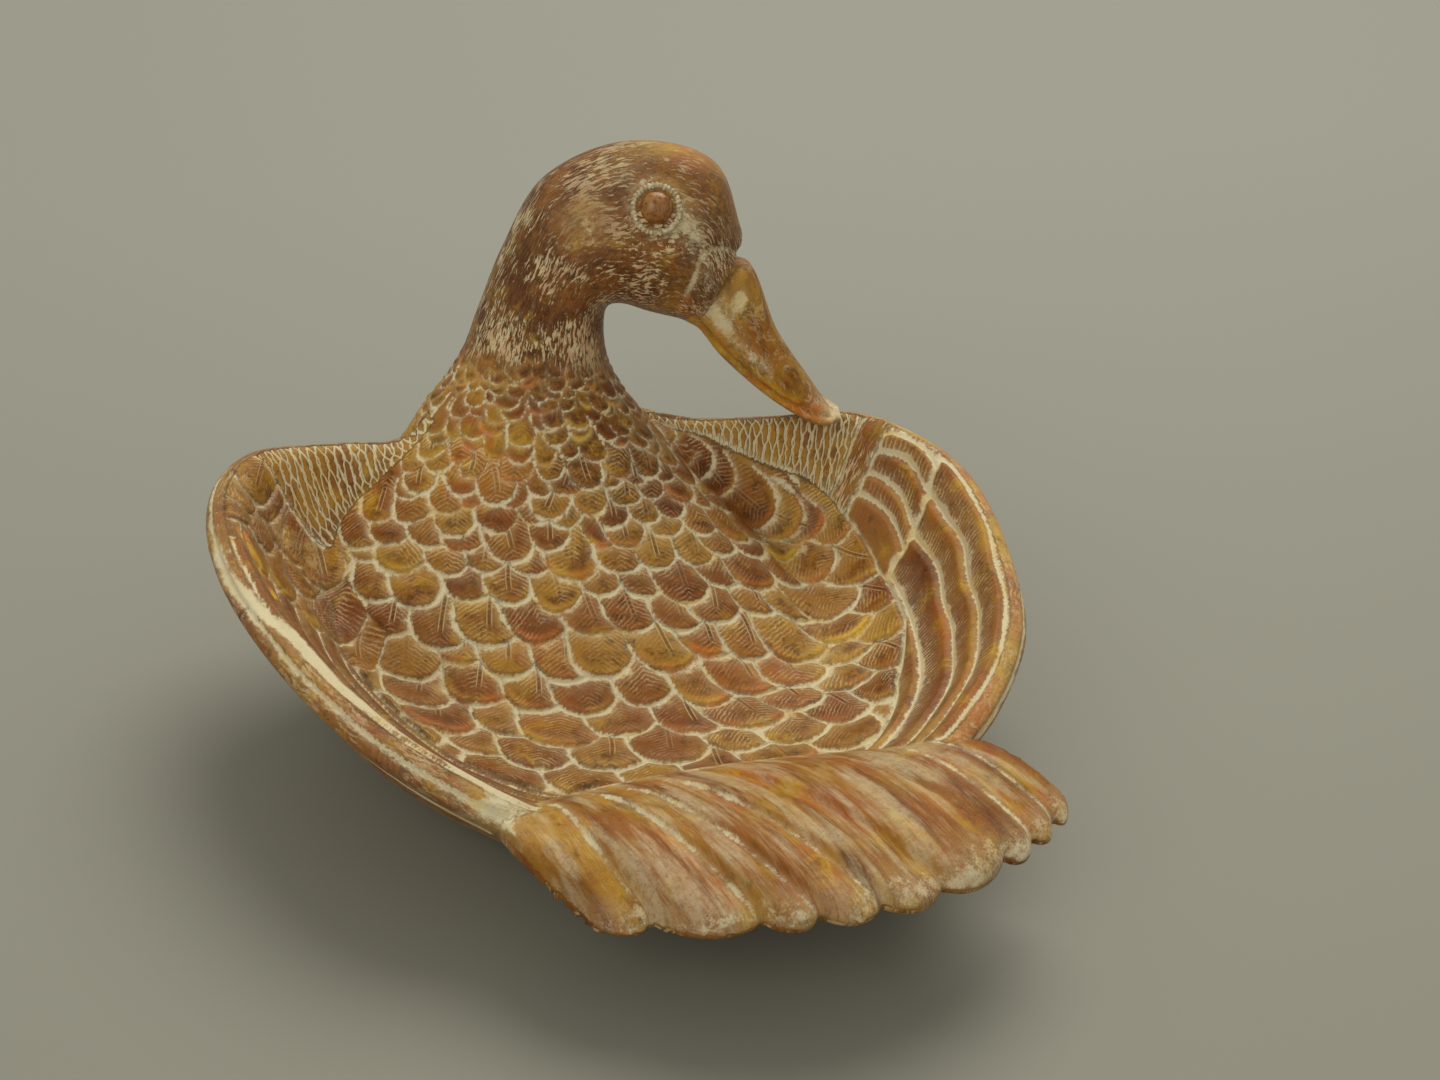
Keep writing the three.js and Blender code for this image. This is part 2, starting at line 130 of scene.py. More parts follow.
def hump(value, width):
    """1 where the value is 0, and falling off softly to both sides."""
    return np.exp(-((value / width) ** 2))


def path_length(points):
    """How far along a line of points each of them lies."""
    return np.concatenate([[0], np.cumsum(np.linalg.norm(np.diff(points, axis=0), axis=1))])


def unit(vectors):
    lengths = np.linalg.norm(vectors, axis=-1, keepdims=True)
    return vectors / np.maximum(lengths, 1e-9)


def catmull(points, shares, closed):
    """Points at the given shares of a centripetal Catmull-Rom curve."""
    points = np.asarray(points, float)
    count = len(points)
    spans = count if closed else count - 1
    place = np.clip(np.asarray(shares, float) * spans, 0, spans)
    whole = np.minimum(np.floor(place).astype(int), spans - 1)
    along = (place - whole)[:, None]
    if closed:
        p0, p1, p2, p3 = (points[(whole + step) % count] for step in (-1, 0, 1, 2))
    else:
        padded = np.vstack([2 * points[0] - points[1], points, 2 * points[-1] - points[-2]])
        p0, p1, p2, p3 = (padded[whole + step] for step in (0, 1, 2, 3))
    d0, d1, d2 = (np.sqrt(np.linalg.norm(b - a, axis=1))[:, None] for a, b in ((p0, p1), (p1, p2), (p2, p3)))
    m1 = ((p1 - p0) / d0 - (p2 - p0) / (d0 + d1) + (p2 - p1) / d1) * d1
    m2 = ((p2 - p1) / d1 - (p3 - p1) / (d1 + d2) + (p3 - p2) / d2) * d1
    return (
        p1
        + m1 * along
        + (-3 * p1 + 3 * p2 - 2 * m1 - m2) * along**2
        + (2 * p1 - 2 * p2 + m1 + m2) * along**3
    )


# The rim
def wing_stations(side):
    twist = side * SHOULDER_TWIST
    beside_tail = [
        [side * mix(NOTCH_HALF_WIDTH, WING_HALF_WIDTH, out), mix(NOTCH_Y, WING_WIDEST_Y, ahead), height]
        for out, ahead, height in (
            (0, 0, NOTCH_HEIGHT),
            (0.6, 0.26, mix(NOTCH_HEIGHT, SHOULDER_HEIGHT, 0.55)),
            (0.91, 0.66, SHOULDER_HEIGHT - 4),
        )
    ]
    shoulder_x = side * SHOULDER_HALF_WIDTH
    before_shoulder = side * mix(SHOULDER_HALF_WIDTH, WING_HALF_WIDTH, 0.62)
    return beside_tail + [
        [side * WING_HALF_WIDTH, mix(WING_WIDEST_Y, SHOULDER_Y, 0.1), SHOULDER_HEIGHT - 1],
        [before_shoulder, mix(WING_WIDEST_Y, SHOULDER_Y, 0.7) - twist, SHOULDER_HEIGHT],
        [shoulder_x, SHOULDER_Y - twist, SHOULDER_HEIGHT],
        [shoulder_x * 0.72, BREAST_RIM_Y - 1.5 - twist * 0.8, SHOULDER_HEIGHT - BREAST_DIP * 0.66],
        [shoulder_x * 0.46, BREAST_RIM_Y + 2.5 - twist * 0.4, SHOULDER_HEIGHT - BREAST_DIP],
    ]


def rim_stations():
    cheek_y = mix(BREAST_RIM_Y, BREAST_FRONT_Y, 0.66)
    breast_height = SHOULDER_HEIGHT - BREAST_DIP
    corner_y = mix(NOTCH_Y, ROOT_LIP_Y, 0.7)
    corner_x = NOTCH_HALF_WIDTH * 0.66
    breast = [
        [SHOULDER_HALF_WIDTH * 0.26, cheek_y, breast_height],
        [0, BREAST_FRONT_Y, breast_height],
        [-SHOULDER_HALF_WIDTH * 0.26, cheek_y, breast_height],
    ]
    lip = [
        [-corner_x, corner_y, ROOT_HEIGHT + 2],
        [0, ROOT_LIP_Y, ROOT_HEIGHT],
        [corner_x, corner_y, ROOT_HEIGHT + 2],
    ]
    return wing_stations(1) + breast + wing_stations(-1)[::-1] + lip


RIM_STEPS = 720
RIM = catmull(rim_stations(), np.arange(RIM_STEPS) / RIM_STEPS, True)


def front_share(rim_y):
    return smooth(rim_y, SHOULDER_Y, mix(BREAST_RIM_Y, BREAST_FRONT_Y, 0.36))


def dish_profiles(rim):
    """One upright section for each place on the rim: distances from the basin's centre, and heights."""
    reach = np.hypot(rim[:, 0], rim[:, 1] - BASIN_CENTRE_Y)[:, None]
    rim_z = rim[:, 2:3]
    inner_reach = reach - 2 * RIM_RADIUS
    crest_reach = reach - RIM_RADIUS
    base_reach = reach * BASE_SHARE
    wall_top = rim_z - RIM_RADIUS * 0.5
    power = mix(WALL_STEEPNESS, FRONT_STEEPNESS, front_share(rim[:, 1]))[:, None]

    floor = np.linspace(0.03, 1, 44)[None]
    over = np.linspace(0.2, 1, 5)[None]
    turn = np.radians(np.linspace(12, 90, 7))[None]
    down = np.linspace(0.97, 0.03, 34)[None]
    distances = [
        inner_reach * floor,
        inner_reach + RIM_RADIUS * over,
        crest_reach + RIM_RADIUS * np.sin(turn),
        mix(base_reach, reach, down),
        base_reach,
    ]
    heights = [
        mix(FLOOR_HEIGHT, wall_top, floor**power),
        wall_top + RIM_RADIUS * 0.5 * over * (2 - over),
        rim_z - RIM_RADIUS + RIM_RADIUS * np.cos(turn),
        mix(PAD_THICKNESS, rim_z - RIM_RADIUS, down**OUTER_WALL_POWER),
        np.full_like(base_reach, PAD_THICKNESS),
    ]
    return np.hstack(distances), np.hstack(heights)


def skin(rings):
    """A closed skin over rings of equal length: vertices and triangles."""
    count, sides = rings.shape[:2]
    verts = rings.reshape(-1, 3)
    ring, side = np.meshgrid(np.arange(count - 1), np.arange(sides), indexing="ij")
    a = ring * sides + side
    b = ring * sides + (side + 1) % sides
    quads = np.stack([a, b, b + sides, a + sides], -1).reshape(-1, 4)
    tris = np.vstack([quads[:, [0, 1, 2]], quads[:, [0, 2, 3]]])
    hubs = np.vstack([rings[0].mean(0), rings[-1].mean(0)])
    side = np.arange(sides)
    start = np.stack([(side + 1) % sides, side, np.full(sides, len(verts))], -1)
    last = (count - 1) * sides
    end = np.stack([last + side, last + (side + 1) % sides, np.full(sides, len(verts) + 1)], -1)
    return np.vstack([verts, hubs]), np.vstack([tris, start, end])


def dish_skin():
    distances, heights = dish_profiles(RIM)
    outward = unit(RIM[:, :2] - [0, BASIN_CENTRE_Y])
    places = np.empty(distances.shape + (3,))
    places[..., 0] = outward[:, 0:1] * distances
    places[..., 1] = outward[:, 1:2] * distances + BASIN_CENTRE_Y
    places[..., 2] = heights
    return skin(places.transpose(1, 0, 2)[::-1])


def tail_ends(side):
    """Where the tail's root and its tips lie lengthways, before the tips are rounded."""
    edge = side * side
    tip_y = TAIL_ROOT_Y - TAIL_LENGTH + TAIL_EDGE_SHORTENING * edge + TAIL_SWEEP * 0.14 * side
    return TAIL_ROOT_Y - TAIL_ROOT_CURVE * edge, tip_y


def tail_lag(side, along):
    """How far the feathers bend to the left of a straight fan."""
    bulge = np.where(side < 0, TAIL_LEFT_BULGE, 0) * side**4
    return (TAIL_SWEEP * 0.16 + bulge) * np.sin(np.pi * along)


def tail_point(feather, within, along, top):
    root_edge = mix(TAIL_EDGES_ROOT[feather], TAIL_EDGES_ROOT[feather + 1], within)
    tip_edge = mix(TAIL_EDGES_TIP[feather], TAIL_EDGES_TIP[feather + 1], within)
    side = mix(root_edge, tip_edge, along) * 2 - 1
    edge = side * side
    at_side = ((feather == 0) & (within < 0.5)) | ((feather == TAIL_FEATHERS - 1) & (within > 0.5))
    rounded = np.where(at_side, 0.5 * (1 - 2 * within) ** 2, 1 - np.abs(np.sin(np.pi * within)) ** 0.7)
    root_y, tip_y = tail_ends(side)
    y = mix(root_y, tip_y + TAIL_TIP_LOBE * rounded, along)
    fanned = mix(side * TAIL_ROOT_HALF_WIDTH, side * TAIL_SPREAD + TAIL_SWEEP, along**TAIL_FAN_POWER)
    x = fanned - tail_lag(side, along)
    crown = TAIL_ARCH * np.sin(np.pi * np.minimum(along * 0.86 + 0.02, 1))
    drop = np.where(side < 0, TAIL_LEFT_DROP, TAIL_RIGHT_DROP) * edge * mix(0.1, 1, along)
    middle = mix(ROOT_HEIGHT + 2, TAIL_TIP_HEIGHT, along) + crown - drop
    tucked = np.where(feather < TAIL_TOP_FEATHER, within, np.where(feather > TAIL_TOP_FEATHER, 1 - within, 0))
    overlap = TAIL_FEATHER_RISE * (1 - tucked) * smooth(along, 0.02, 0.35)
    thickness = TAIL_THICKNESS * mix(1.2, 0.6, along) * (1 - 0.45 * edge * edge)
    rounding = math.sqrt(max(1 - (max(along - TAIL_TIP_START, 0) / (1 - TAIL_TIP_START)) ** 2, 0))
    core = middle - thickness / 2
    above = core + (thickness / 2 + overlap) * rounding
    return np.stack([x, y, above if top else core - thickness / 2 * rounding], -1)


def tail_skin():
    steps = 24
    feather = np.repeat(np.arange(TAIL_FEATHERS), steps + 1)
    within = np.tile(np.linspace(0, 1, steps + 1), TAIL_FEATHERS)
    rings = []
    tip_turn = np.linspace(0, np.pi / 2, 18)[1:]
    shares = np.concatenate([np.linspace(0, TAIL_TIP_START, 84), mix(TAIL_TIP_START, 1, np.sin(tip_turn))])
    for along in shares:
        above = tail_point(feather, within, along, True)
        under = tail_point(feather, within, along, False)
        rings.append(np.vstack([above, under[::-1]]))
    verts, faces = skin(np.array(rings)[::-1])
    tip_hub = len(verts) - 2
    return verts, faces[(faces != tip_hub).all(1)]


# The plane of the neck and head
REST = np.array([
    SHOULDER_HALF_WIDTH - RIM_RADIUS - REST_INSET,
    SHOULDER_Y - SHOULDER_TWIST - RIM_RADIUS - REST_INSET / 4,
    SHOULDER_HEIGHT,
])
FORWARD = unit((REST - NECK_FOOT) * [1, 1, 0])
UPWARD = np.array([-FORWARD[1] * math.sin(NECK_LEAN), FORWARD[0] * math.sin(NECK_LEAN), math.cos(NECK_LEAN)])
SIDEWAYS = unit(np.cross(FORWARD, UPWARD))
TIP_REACH = float((REST - NECK_FOOT) @ FORWARD)
TIP_HEIGHT = SHOULDER_HEIGHT - NECK_FOOT[2] + BILL_TIP_OVER
FOOT_DEPTH = SEAM_HEIGHT + NECK_FOOT[2] - FLOOR_HEIGHT + PAD_THICKNESS


def head_place(reach, height, side=0.0):
    reach, height, side = np.broadcast_arrays(reach, height, side)
    return NECK_FOOT + reach[..., None] * FORWARD + height[..., None] * UPWARD + side[..., None] * SIDEWAYS


def foot_station(share):
    spread = FOOT_SPREAD * share**FOOT_FLARE
    height = SEAM_HEIGHT - FOOT_DEPTH * share
    return [
        SEAM_BACK_REACH - spread, height, SEAM_THROAT_REACH + spread, height,
        SEAM_HALF_WIDTH + spread / 2, spread / 2,
    ]


def bill_top(share):
    return [
        mix(FOREHEAD_REACH, TIP_REACH, share),
        mix(BILL_ROOT_HEIGHT, TIP_HEIGHT, 1 - 0.93 * (1 - share) ** 1.1),
    ]


NECK_STATIONS = [foot_station(share) for share in (1, 0.8, 0.6, 0.4, 0.2, 0)] + [
    [SEAM_BACK_REACH + 5, 27, 10.6, THROAT_HEIGHT - 4.5, NECK_HALF_WIDTH, 0],
    [SEAM_BACK_REACH + 11, 44, 11.5, THROAT_HEIGHT + 0.5, NECK_HALF_WIDTH, 0],
    [SEAM_BACK_REACH + 21, CROWN_HEIGHT - 10.5, 15, THROAT_HEIGHT + 1, HEAD_HALF_WIDTH - 1, 0],
    [FOREHEAD_REACH - 31.6, CROWN_HEIGHT, 22, THROAT_HEIGHT - 1, HEAD_HALF_WIDTH, 0],
    [FOREHEAD_REACH - 9, CROWN_HEIGHT - 4.5, 30, THROAT_HEIGHT - 2.7, HEAD_HALF_WIDTH - 1, 0],
    [FOREHEAD_REACH - 0.5, CROWN_HEIGHT - 23, 34, THROAT_HEIGHT - 3.5, HEAD_HALF_WIDTH - 5, 0],
]
BILL_STATIONS = [
    [FOREHEAD_REACH - 7, BILL_ROOT_HEIGHT - 1, 31, THROAT_HEIGHT - 3, BILL_HALF_WIDTH, 0],
    [FOREHEAD_REACH + 1, BILL_ROOT_HEIGHT + 0.5, 35, THROAT_HEIGHT - 4.5, BILL_HALF_WIDTH, 0],
    [*bill_top(0.36), 42.5, THROAT_HEIGHT - 12.5, BILL_HALF_WIDTH - 0.6, 0],
    [*bill_top(0.7), 57, THROAT_HEIGHT - 24, BILL_HALF_WIDTH, 0],
    [*bill_top(0.9), TIP_REACH - 9, TIP_HEIGHT - 0.4, BILL_HALF_WIDTH - 1, 0],
    [TIP_REACH + 0.4, TIP_HEIGHT + 2.2, TIP_REACH - 2.6, TIP_HEIGHT - 1.2, BILL_TIP_HALF_WIDTH, 0],
]


def section_ring(station, fullness, sides):
    back_reach, back_height, front_reach, front_height, half_width, shift = station
    middle_reach = (back_reach + front_reach) / 2
    middle_height = (back_height + front_height) / 2
    levelling = 1 - smooth(middle_height, SEAM_HEIGHT - FOOT_DEPTH / 2, SEAM_HEIGHT)
    angle = 2 * np.pi * np.arange(sides) / sides
    in_plane = np.sign(np.cos(angle)) * np.abs(np.cos(angle)) ** fullness
    aside = shift + half_width * np.sign(np.sin(angle)) * np.abs(np.sin(angle)) ** fullness
    places = head_place(
        middle_reach + (back_reach - middle_reach) * in_plane,
        middle_height + (back_height - middle_height) * in_plane,
        aside,
    )
    places[:, 2] -= levelling * SIDEWAYS[2] * aside
    return places


def loft(stations, count, sides, fullness):
    stations = np.array(stations, float)
    shares = np.linspace(0, 1, count)
    backs = catmull(stations[:, [0, 1, 4]], shares, False)
    throats = catmull(stations[:, [2, 3, 5]], shares, False)
    rings = []
    for back, throat in zip(backs, throats):
        station = [back[0], back[1], throat[0], throat[1], back[2], throat[2]]
        rings.append(section_ring(station, fullness, sides))
    return np.array(rings)


RIM_TURN = np.arctan2(RIM[:, 1] - BASIN_CENTRE_Y, RIM[:, 0])
RIM_REACH = np.hypot(RIM[:, 0], RIM[:, 1] - BASIN_CENTRE_Y)


def round_rim(turn, values):
    """A value of the rim, at a turn round the basin's centre."""
    return np.interp(turn, RIM_TURN, values, period=2 * np.pi)


def around(points):
    """For each point its turn and distance from the basin's centre, and the rim's reach and height there."""
    dx, dy = points[:, 0], points[:, 1] - BASIN_CENTRE_Y
    turn = np.arctan2(dy, dx)
    return turn, np.hypot(dx, dy), round_rim(turn, RIM_REACH), round_rim(turn, RIM[:, 2])


def kept_in_dish(points):
    """The neck's foot stays inside the outer wall, and may spread only above the rim."""
    turn, distance, reach, rim_z = around(points)
    wall_top = rim_z - RIM_RADIUS
    share = np.clip((points[:, 2] - PAD_THICKNESS) / (wall_top - PAD_THICKNESS), 0, 1)
    wall = mix(reach * BASE_SHARE, reach, share ** (1 / OUTER_WALL_POWER))
    kept = np.minimum(distance, wall - 1 + np.maximum(points[:, 2] - wall_top, 0))
    result = points.copy()
    result[:, 0] = np.cos(turn) * kept
    result[:, 1] = np.sin(turn) * kept + BASIN_CENTRE_Y
    return result


# The parts that are joined into one skin
NECK_RINGS = 170
RING_SIDES = 128
neck_rings = loft(NECK_STATIONS, NECK_RINGS, RING_SIDES, 0.94)
neck_verts, neck_faces = skin(neck_rings)
parts = {
    "dish": dish_skin(),
    "neck": (kept_in_dish(neck_verts), neck_faces),
    "bill": skin(loft(BILL_STATIONS, 70, 96, 0.86)),
    "tail": tail_skin(),
}


def mesh_from(name, verts, faces):
    mesh = bpy.data.meshes.new(name)
    mesh.from_pydata(verts.tolist(), [], faces.tolist())
    mesh.polygons.foreach_set("use_smooth", np.ones(len(faces), bool))
    mesh.update()
    return mesh


def add_object(name, data):
    ob = bpy.data.objects.new(name, data)
    bpy.context.scene.collection.objects.link(ob)
    return ob


def remeshed(parts, voxel):
    """The parts joined and cut into even quads, as vertices and quads in millimetres."""
    verts, faces, offset = [], [], 0
    for part_verts, part_faces in parts:
        verts.append(part_verts)
        faces.append(part_faces + offset)
        offset += len(part_verts)
    ob = add_object("joined", mesh_from("joined", np.vstack(verts), np.vstack(faces)))
    remesh = ob.modifiers.new("even", "REMESH")
    remesh.mode = "VOXEL"
    remesh.voxel_size = voxel
    result = ob.evaluated_get(bpy.context.evaluated_depsgraph_get()).to_mesh()
    points = np.empty(len(result.vertices) * 3)
    result.vertices.foreach_get("co", points)
    quads = np.array([p.vertices[:] for p in result.polygons if len(p.vertices) == 4])
    bpy.data.objects.remove(ob)
    return points.reshape(-1, 3), quads


def vertex_normals(verts, quads):
    a, b, c, d = (verts[quads[:, k]] for k in range(4))
    face = np.cross(c - a, d - b)
    normals = np.zeros_like(verts)
    for k in range(4):
        for axis in range(3):
            normals[:, axis] += np.bincount(quads[:, k], face[:, axis], len(verts))
    return unit(normals)


VOXEL = 0.65
body, quads = remeshed(parts.values(), VOXEL)


def directed_edges(quads):
    loops = np.vstack([quads[:, [0, 1]], quads[:, [1, 2]], quads[:, [2, 3]], quads[:, [3, 0]]])
    loops = np.vstack([loops, loops[:, ::-1]])
    order = np.argsort(loops[:, 0].astype(np.int64) * (loops.max() + 1) + loops[:, 1])
    loops = loops[order]
    fresh = np.ones(len(loops), bool)
    fresh[1:] = (loops[1:] != loops[:-1]).any(1)
    return loops[fresh]


def softened(values, edges, weight, rounds):
    """Values drawn towards the mean of their neighbours, as much as the weight says."""
    values = values.copy()
    moving = weight[edges[:, 0]] > 0.01
    start, end = edges[moving].T
    degree = np.maximum(np.bincount(start, minlength=len(values)), 1)
    for _ in range(rounds):
        for axis in range(values.shape[1]):
            mean = np.bincount(start, values[end, axis], len(values)) / degree
            values[:, axis] += np.where(weight > 0.01, weight * (mean - values[:, axis]), 0)
    return values


def tree_of(part):
    verts, faces = part
    return BVHTree.FromPolygons(verts.tolist(), faces.tolist())


def distance_to(part, points, limit):
    """Distance of each point from a part's own surface, up to a limit."""
    tree = tree_of(part)
    low, high = part[0].min(0) - limit, part[0].max(0) + limit
    result = np.full(len(points), limit)
    close = np.flatnonzero(((points > low) & (points < high)).all(1))
    for index, point in zip(close, points[close].tolist()):
        found = tree.find_nearest(point, limit)[3]
        if found is not None:
            result[index] = found
    return result


edges = directed_edges(quads)
everywhere = np.ones(len(body))
body = softened(body, edges, everywhere * 0.5, 3)

# Where two parts meet, the join is rounded over as in a casting
REACH_OF_JOIN = 9.0
JOINS = (("dish", "neck", REACH_OF_JOIN, 90), ("neck", "bill", 3.5, 14), ("dish", "tail", 4.0, 16))
to_part = {name: distance_to(part, body, REACH_OF_JOIN) for name, part in parts.items()}
for first, second, radius, rounds in JOINS:
    join = 1 - smooth(np.maximum(to_part[first], to_part[second]), radius * 0.25, radius)
    body = softened(body, edges, join * 0.6, rounds)
normals = vertex_normals(body, quads)
height_above = body[:, 2]

nearest = np.argmin(np.stack(list(to_part.values())), 0)
on = {name: nearest == number for number, name in enumerate(parts)}

# Places on the dish: the turn round the basin, alike on both wings, and the share of the way to the crest
turn, distance, reach, rim_z = around(body)
wing_turn = np.degrees(np.arctan2(body[:, 1] - BASIN_CENTRE_Y, np.abs(body[:, 0])))
left = body[:, 0] < 0
crest_reach = reach - RIM_RADIUS
share = distance / crest_reach
inner = (normals[:, 2] > 0.1) & (share < 1.0)
outer_path = np.hypot(distance - crest_reach, rim_z - height_above)

# What the carving and the paint do at each place
lift, wash, warm, dark, barbs, net, strokes, shaft = np.zeros((8, len(body)))
tone = np.full(len(body), 0.5)
flow = np.zeros((len(body), 3))
LAYERS = {
    "lift": lift, "wash": wash, "warm": warm, "dark": dark, "tone": tone, "barbs": barbs, "net": net,
    "strokes": strokes, "shaft": shaft, "flow_x": flow[:, 0], "flow_y": flow[:, 1], "flow_z": flow[:, 2],
}


def lay(mask, **layers):
    """Sets layers where the mask says, each to one number or to the values of an array."""
    for name, value in layers.items():
        LAYERS[name][mask] = np.broadcast_to(value, mask.shape)[mask]


rng = np.random.default_rng(7)
by_depth = np.argsort(body[:, 1])
depths = body[by_depth, 1]


def near(centre, radius):
    """Numbers of the vertices closer to a place than a radius."""
    first, last = np.searchsorted(depths, [centre[1] - radius, centre[1] + radius])
    found = by_depth[first:last]
    return found[((body[found] - centre) ** 2).sum(1) < radius * radius]


def lay_scale(centre, tip_way, facing, width, length, height, painted=1.0, barbed=1.0):
    """One scale-like feather, laid over what is there: raised at its rounded tip, with a groove round it."""
    tip_way = unit(tip_way - facing * (tip_way @ facing))
    across_way = np.cross(facing, tip_way)
    half = width / 2
    found = near(centre, 1.25 * max(width, length))
    rel = body[found] - centre
    along = rel @ tip_way / length
    across = rel @ across_way / half
    across = across + rng.normal(0, 0.10) * along * along
    level = (np.abs(rel @ facing) < 0.45 * width + 1) & (normals[found] @ facing > 0.15) & (along > -1.15)
    edge = (np.abs(across) ** 2.4 + np.maximum(along, 0) ** 2.2) ** (1 / 2.3) - 1
    gap = edge * half
    groove = 0.10 * width + 0.15

    inside = level & (edge <= 0)
    at, on_along, on_across, on_edge = found[inside], along[inside], across[inside], edge[inside]
    rising = np.clip((on_along + 0.9) / 1.9, 0, 1)
    rounding = smooth(on_edge, -0.3, 0.0)
    lift[at] = height * (0.1 + 0.9 * rising**1.3) * (1 - 0.15 * on_across**2) - 0.45 * height * rounding
    scale_tone = rng.random()
    scale_warm = max(rng.uniform(-0.5, 1.0), 0)
    wash[at] = 0.12 * rounding
    warm[at] = hump(on_edge + 0.07, 0.07) * smooth(on_along, 0.1, 0.7) * scale_warm * painted
    shade = smooth(on_along, 0.05, 0.75) * (1 - smooth(on_edge, -0.35, -0.05))
    dark[at] = shade * (0.4 + 0.6 * rng.random())
    tone[at] = scale_tone
    barbs[at] = barbed * (1 - 0.55 * rising) * rng.uniform(0.35, 1)
    shaft_reach = smooth(on_along, -0.8, -0.3) * (1 - smooth(on_along, 0.45, 0.7))
    shaft[at] = barbed * shaft_reach * max(rng.uniform(-0.3, 1.0), 0)
    flow[at, 0] = on_along * length + 40 * scale_tone
    flow[at, 1] = on_across * half
    flow[at, 2] = rng.uniform(0.45, 0.8)

    beside = level & (edge > 0) & (gap < groove * 2.6) & (along > -0.7)
    at, off, on_along = found[beside], gap[beside], along[beside]
    ends = smooth(on_along, -0.7, -0.25)
    deep = smooth(np.clip(1 - off / groove, 0, 1), 0, 1) * ends
    lift[at] = mix(lift[at], np.minimum(lift[at], -0.42 * height), deep)
    pale = np.exp(-((off / groove) ** 1.5) * 0.9) * ends
    dark[at] *= 1 - pale
    glow = scale_warm * painted * hump(off, 0.8) * ends * smooth(on_along, 0.1, 0.6)
    warm[at] = np.maximum(warm[at] * (1 - pale), glow)
    wash[at] = np.maximum(wash[at], pale * (0.4 + 0.6 * painted) * (1 - 0.55 * glow))


# The scales of the basin lie in rows round a place behind the neck. They shrink as they climb its foot.
FAN_CENTRE = np.array([8.0, 150.0])
FIRST_ROW_REACH = 184.0
LAST_ROW_REACH = 60.0
MOST_ROWS = 26
SCALE_WIDTH = 17.5
ROW_SPACING = 0.64
FOOT_HEIGHTS = [20, 28, 36, 45, 52, 62, 67]
FOOT_WIDTHS = [SCALE_WIDTH, 15.5, 13.5, 10.5, 8, 6, 4.5]
FIELD_TURNS = [-90, -51, -39, -23, -5, 13, 27, 38, 47, 60, 90]
FIELD_RIGHT = [0.80, 0.74, 0.73, 0.72, 0.77, 0.77, 0.82, 0.875, 0.905, 0.95, 1.0]
FIELD_LEFT = [0.70, 0.65, 0.655, 0.675, 0.705, 0.725, 0.735, 0.79, 0.87, 0.93, 1.0]
HILL_RING = 58
SEAM_RING = 77
DOWN = (0, 0, -1)

dish_tree, neck_tree = tree_of(parts["dish"]), tree_of(parts["neck"])


def field_share(wing_turn, left):
    """How far out the field of scales reaches, as a share of the way to the rim's crest."""
    right_edge = np.interp(wing_turn, FIELD_TURNS, FIELD_RIGHT)
    return np.where(left, np.interp(wing_turn, FIELD_TURNS, FIELD_LEFT), right_edge)


def ground(x, y):
    """The basin or the neck's foot below a point in plan: place, facing and the scales' width there."""
    best = None
    for tree, start in ((dish_tree, 100.0), (neck_tree, 74.0)):
        place, facing, _, _ = tree.ray_cast((x, y, start), DOWN)
        if place is not None and (best is None or place.z > best[0][2]) and facing.z > 0:
            width = np.interp(place.y, [35, 52, 70, 85], [SCALE_WIDTH, 14.5, 10.5, 8])
            if tree is neck_tree:
                width = min(width, np.interp(place.z, FOOT_HEIGHTS, FOOT_WIDTHS))
            best = np.array(place), np.array(facing), float(width)
    return best


def inside_ring(x, y, ring):
    loop = neck_rings[ring][:, :2]
    following = np.roll(loop, -1, 0)
    crossing = (loop[:, 1] > y) != (following[:, 1] > y)
    slope = (following[:, 0] - loop[:, 0]) / np.where(crossing, following[:, 1] - loop[:, 1], 1)
    return (crossing & (x < loop[:, 0] + slope * (y - loop[:, 1]))).sum() % 2 == 1


def fan_way(angle):
    return np.array([math.sin(angle), -math.cos(angle), 0.0])


def fan_place(angle, row_reach):
    return FAN_CENTRE + row_reach * fan_way(angle)[:2]


def next_reach(angle, row_reach):
    """How far the next row lies from the fan's centre: its step is measured along the surface."""
    here = ground(*fan_place(angle, row_reach))
    ahead = ground(*fan_place(angle, row_reach - 2.5))
    if here is None or ahead is None:
        return row_reach - ROW_SPACING * SCALE_WIDTH
    slope = (ahead[0][2] - here[0][2]) / 2.5
    spacing = np.interp(min(here[2], ahead[2]), [6, 14], [0.52, ROW_SPACING])
    return row_reach - float(spacing) * min(here[2], ahead[2]) / math.hypot(1, slope)


def in_field(place):
    _, place_distance, place_reach, _ = around(place[None])
    place_turn = math.degrees(math.atan2(place[1] - BASIN_CENTRE_Y, abs(place[0])))
    edge_share = field_share(place_turn, place[0] < 0)
    return place_distance[0] / (place_reach[0] - RIM_RADIUS) < edge_share - 0.015


def field_ground(spot, last_y):
    """The ground below a spot, or None where the rows lay no scale."""
    here = ground(*spot)
    if here is None or spot[1] > last_y or inside_ring(*spot, HILL_RING) or not in_field(here[0]):
        return None
    return here


# A first layer of smaller scales closes the gaps that the rows leave beside the neck's foot
for row_reach in np.arange(130, 52, -7.0):
    for angle in np.arange(-1.4, 1.4, 11.5 / row_reach) + rng.normal(0, 0.03):
        here = field_ground(fan_place(angle, row_reach), 90)
        if here is None:
            continue
        outwards = fan_way(angle) + np.array([0, -0.6, 0])
        width = min(here[2], 12.5) * rng.uniform(1.0, 1.15)
        lay_scale(here[0], unit(outwards), here[1], width, width * 0.62, 0.25 + 0.06 * width)

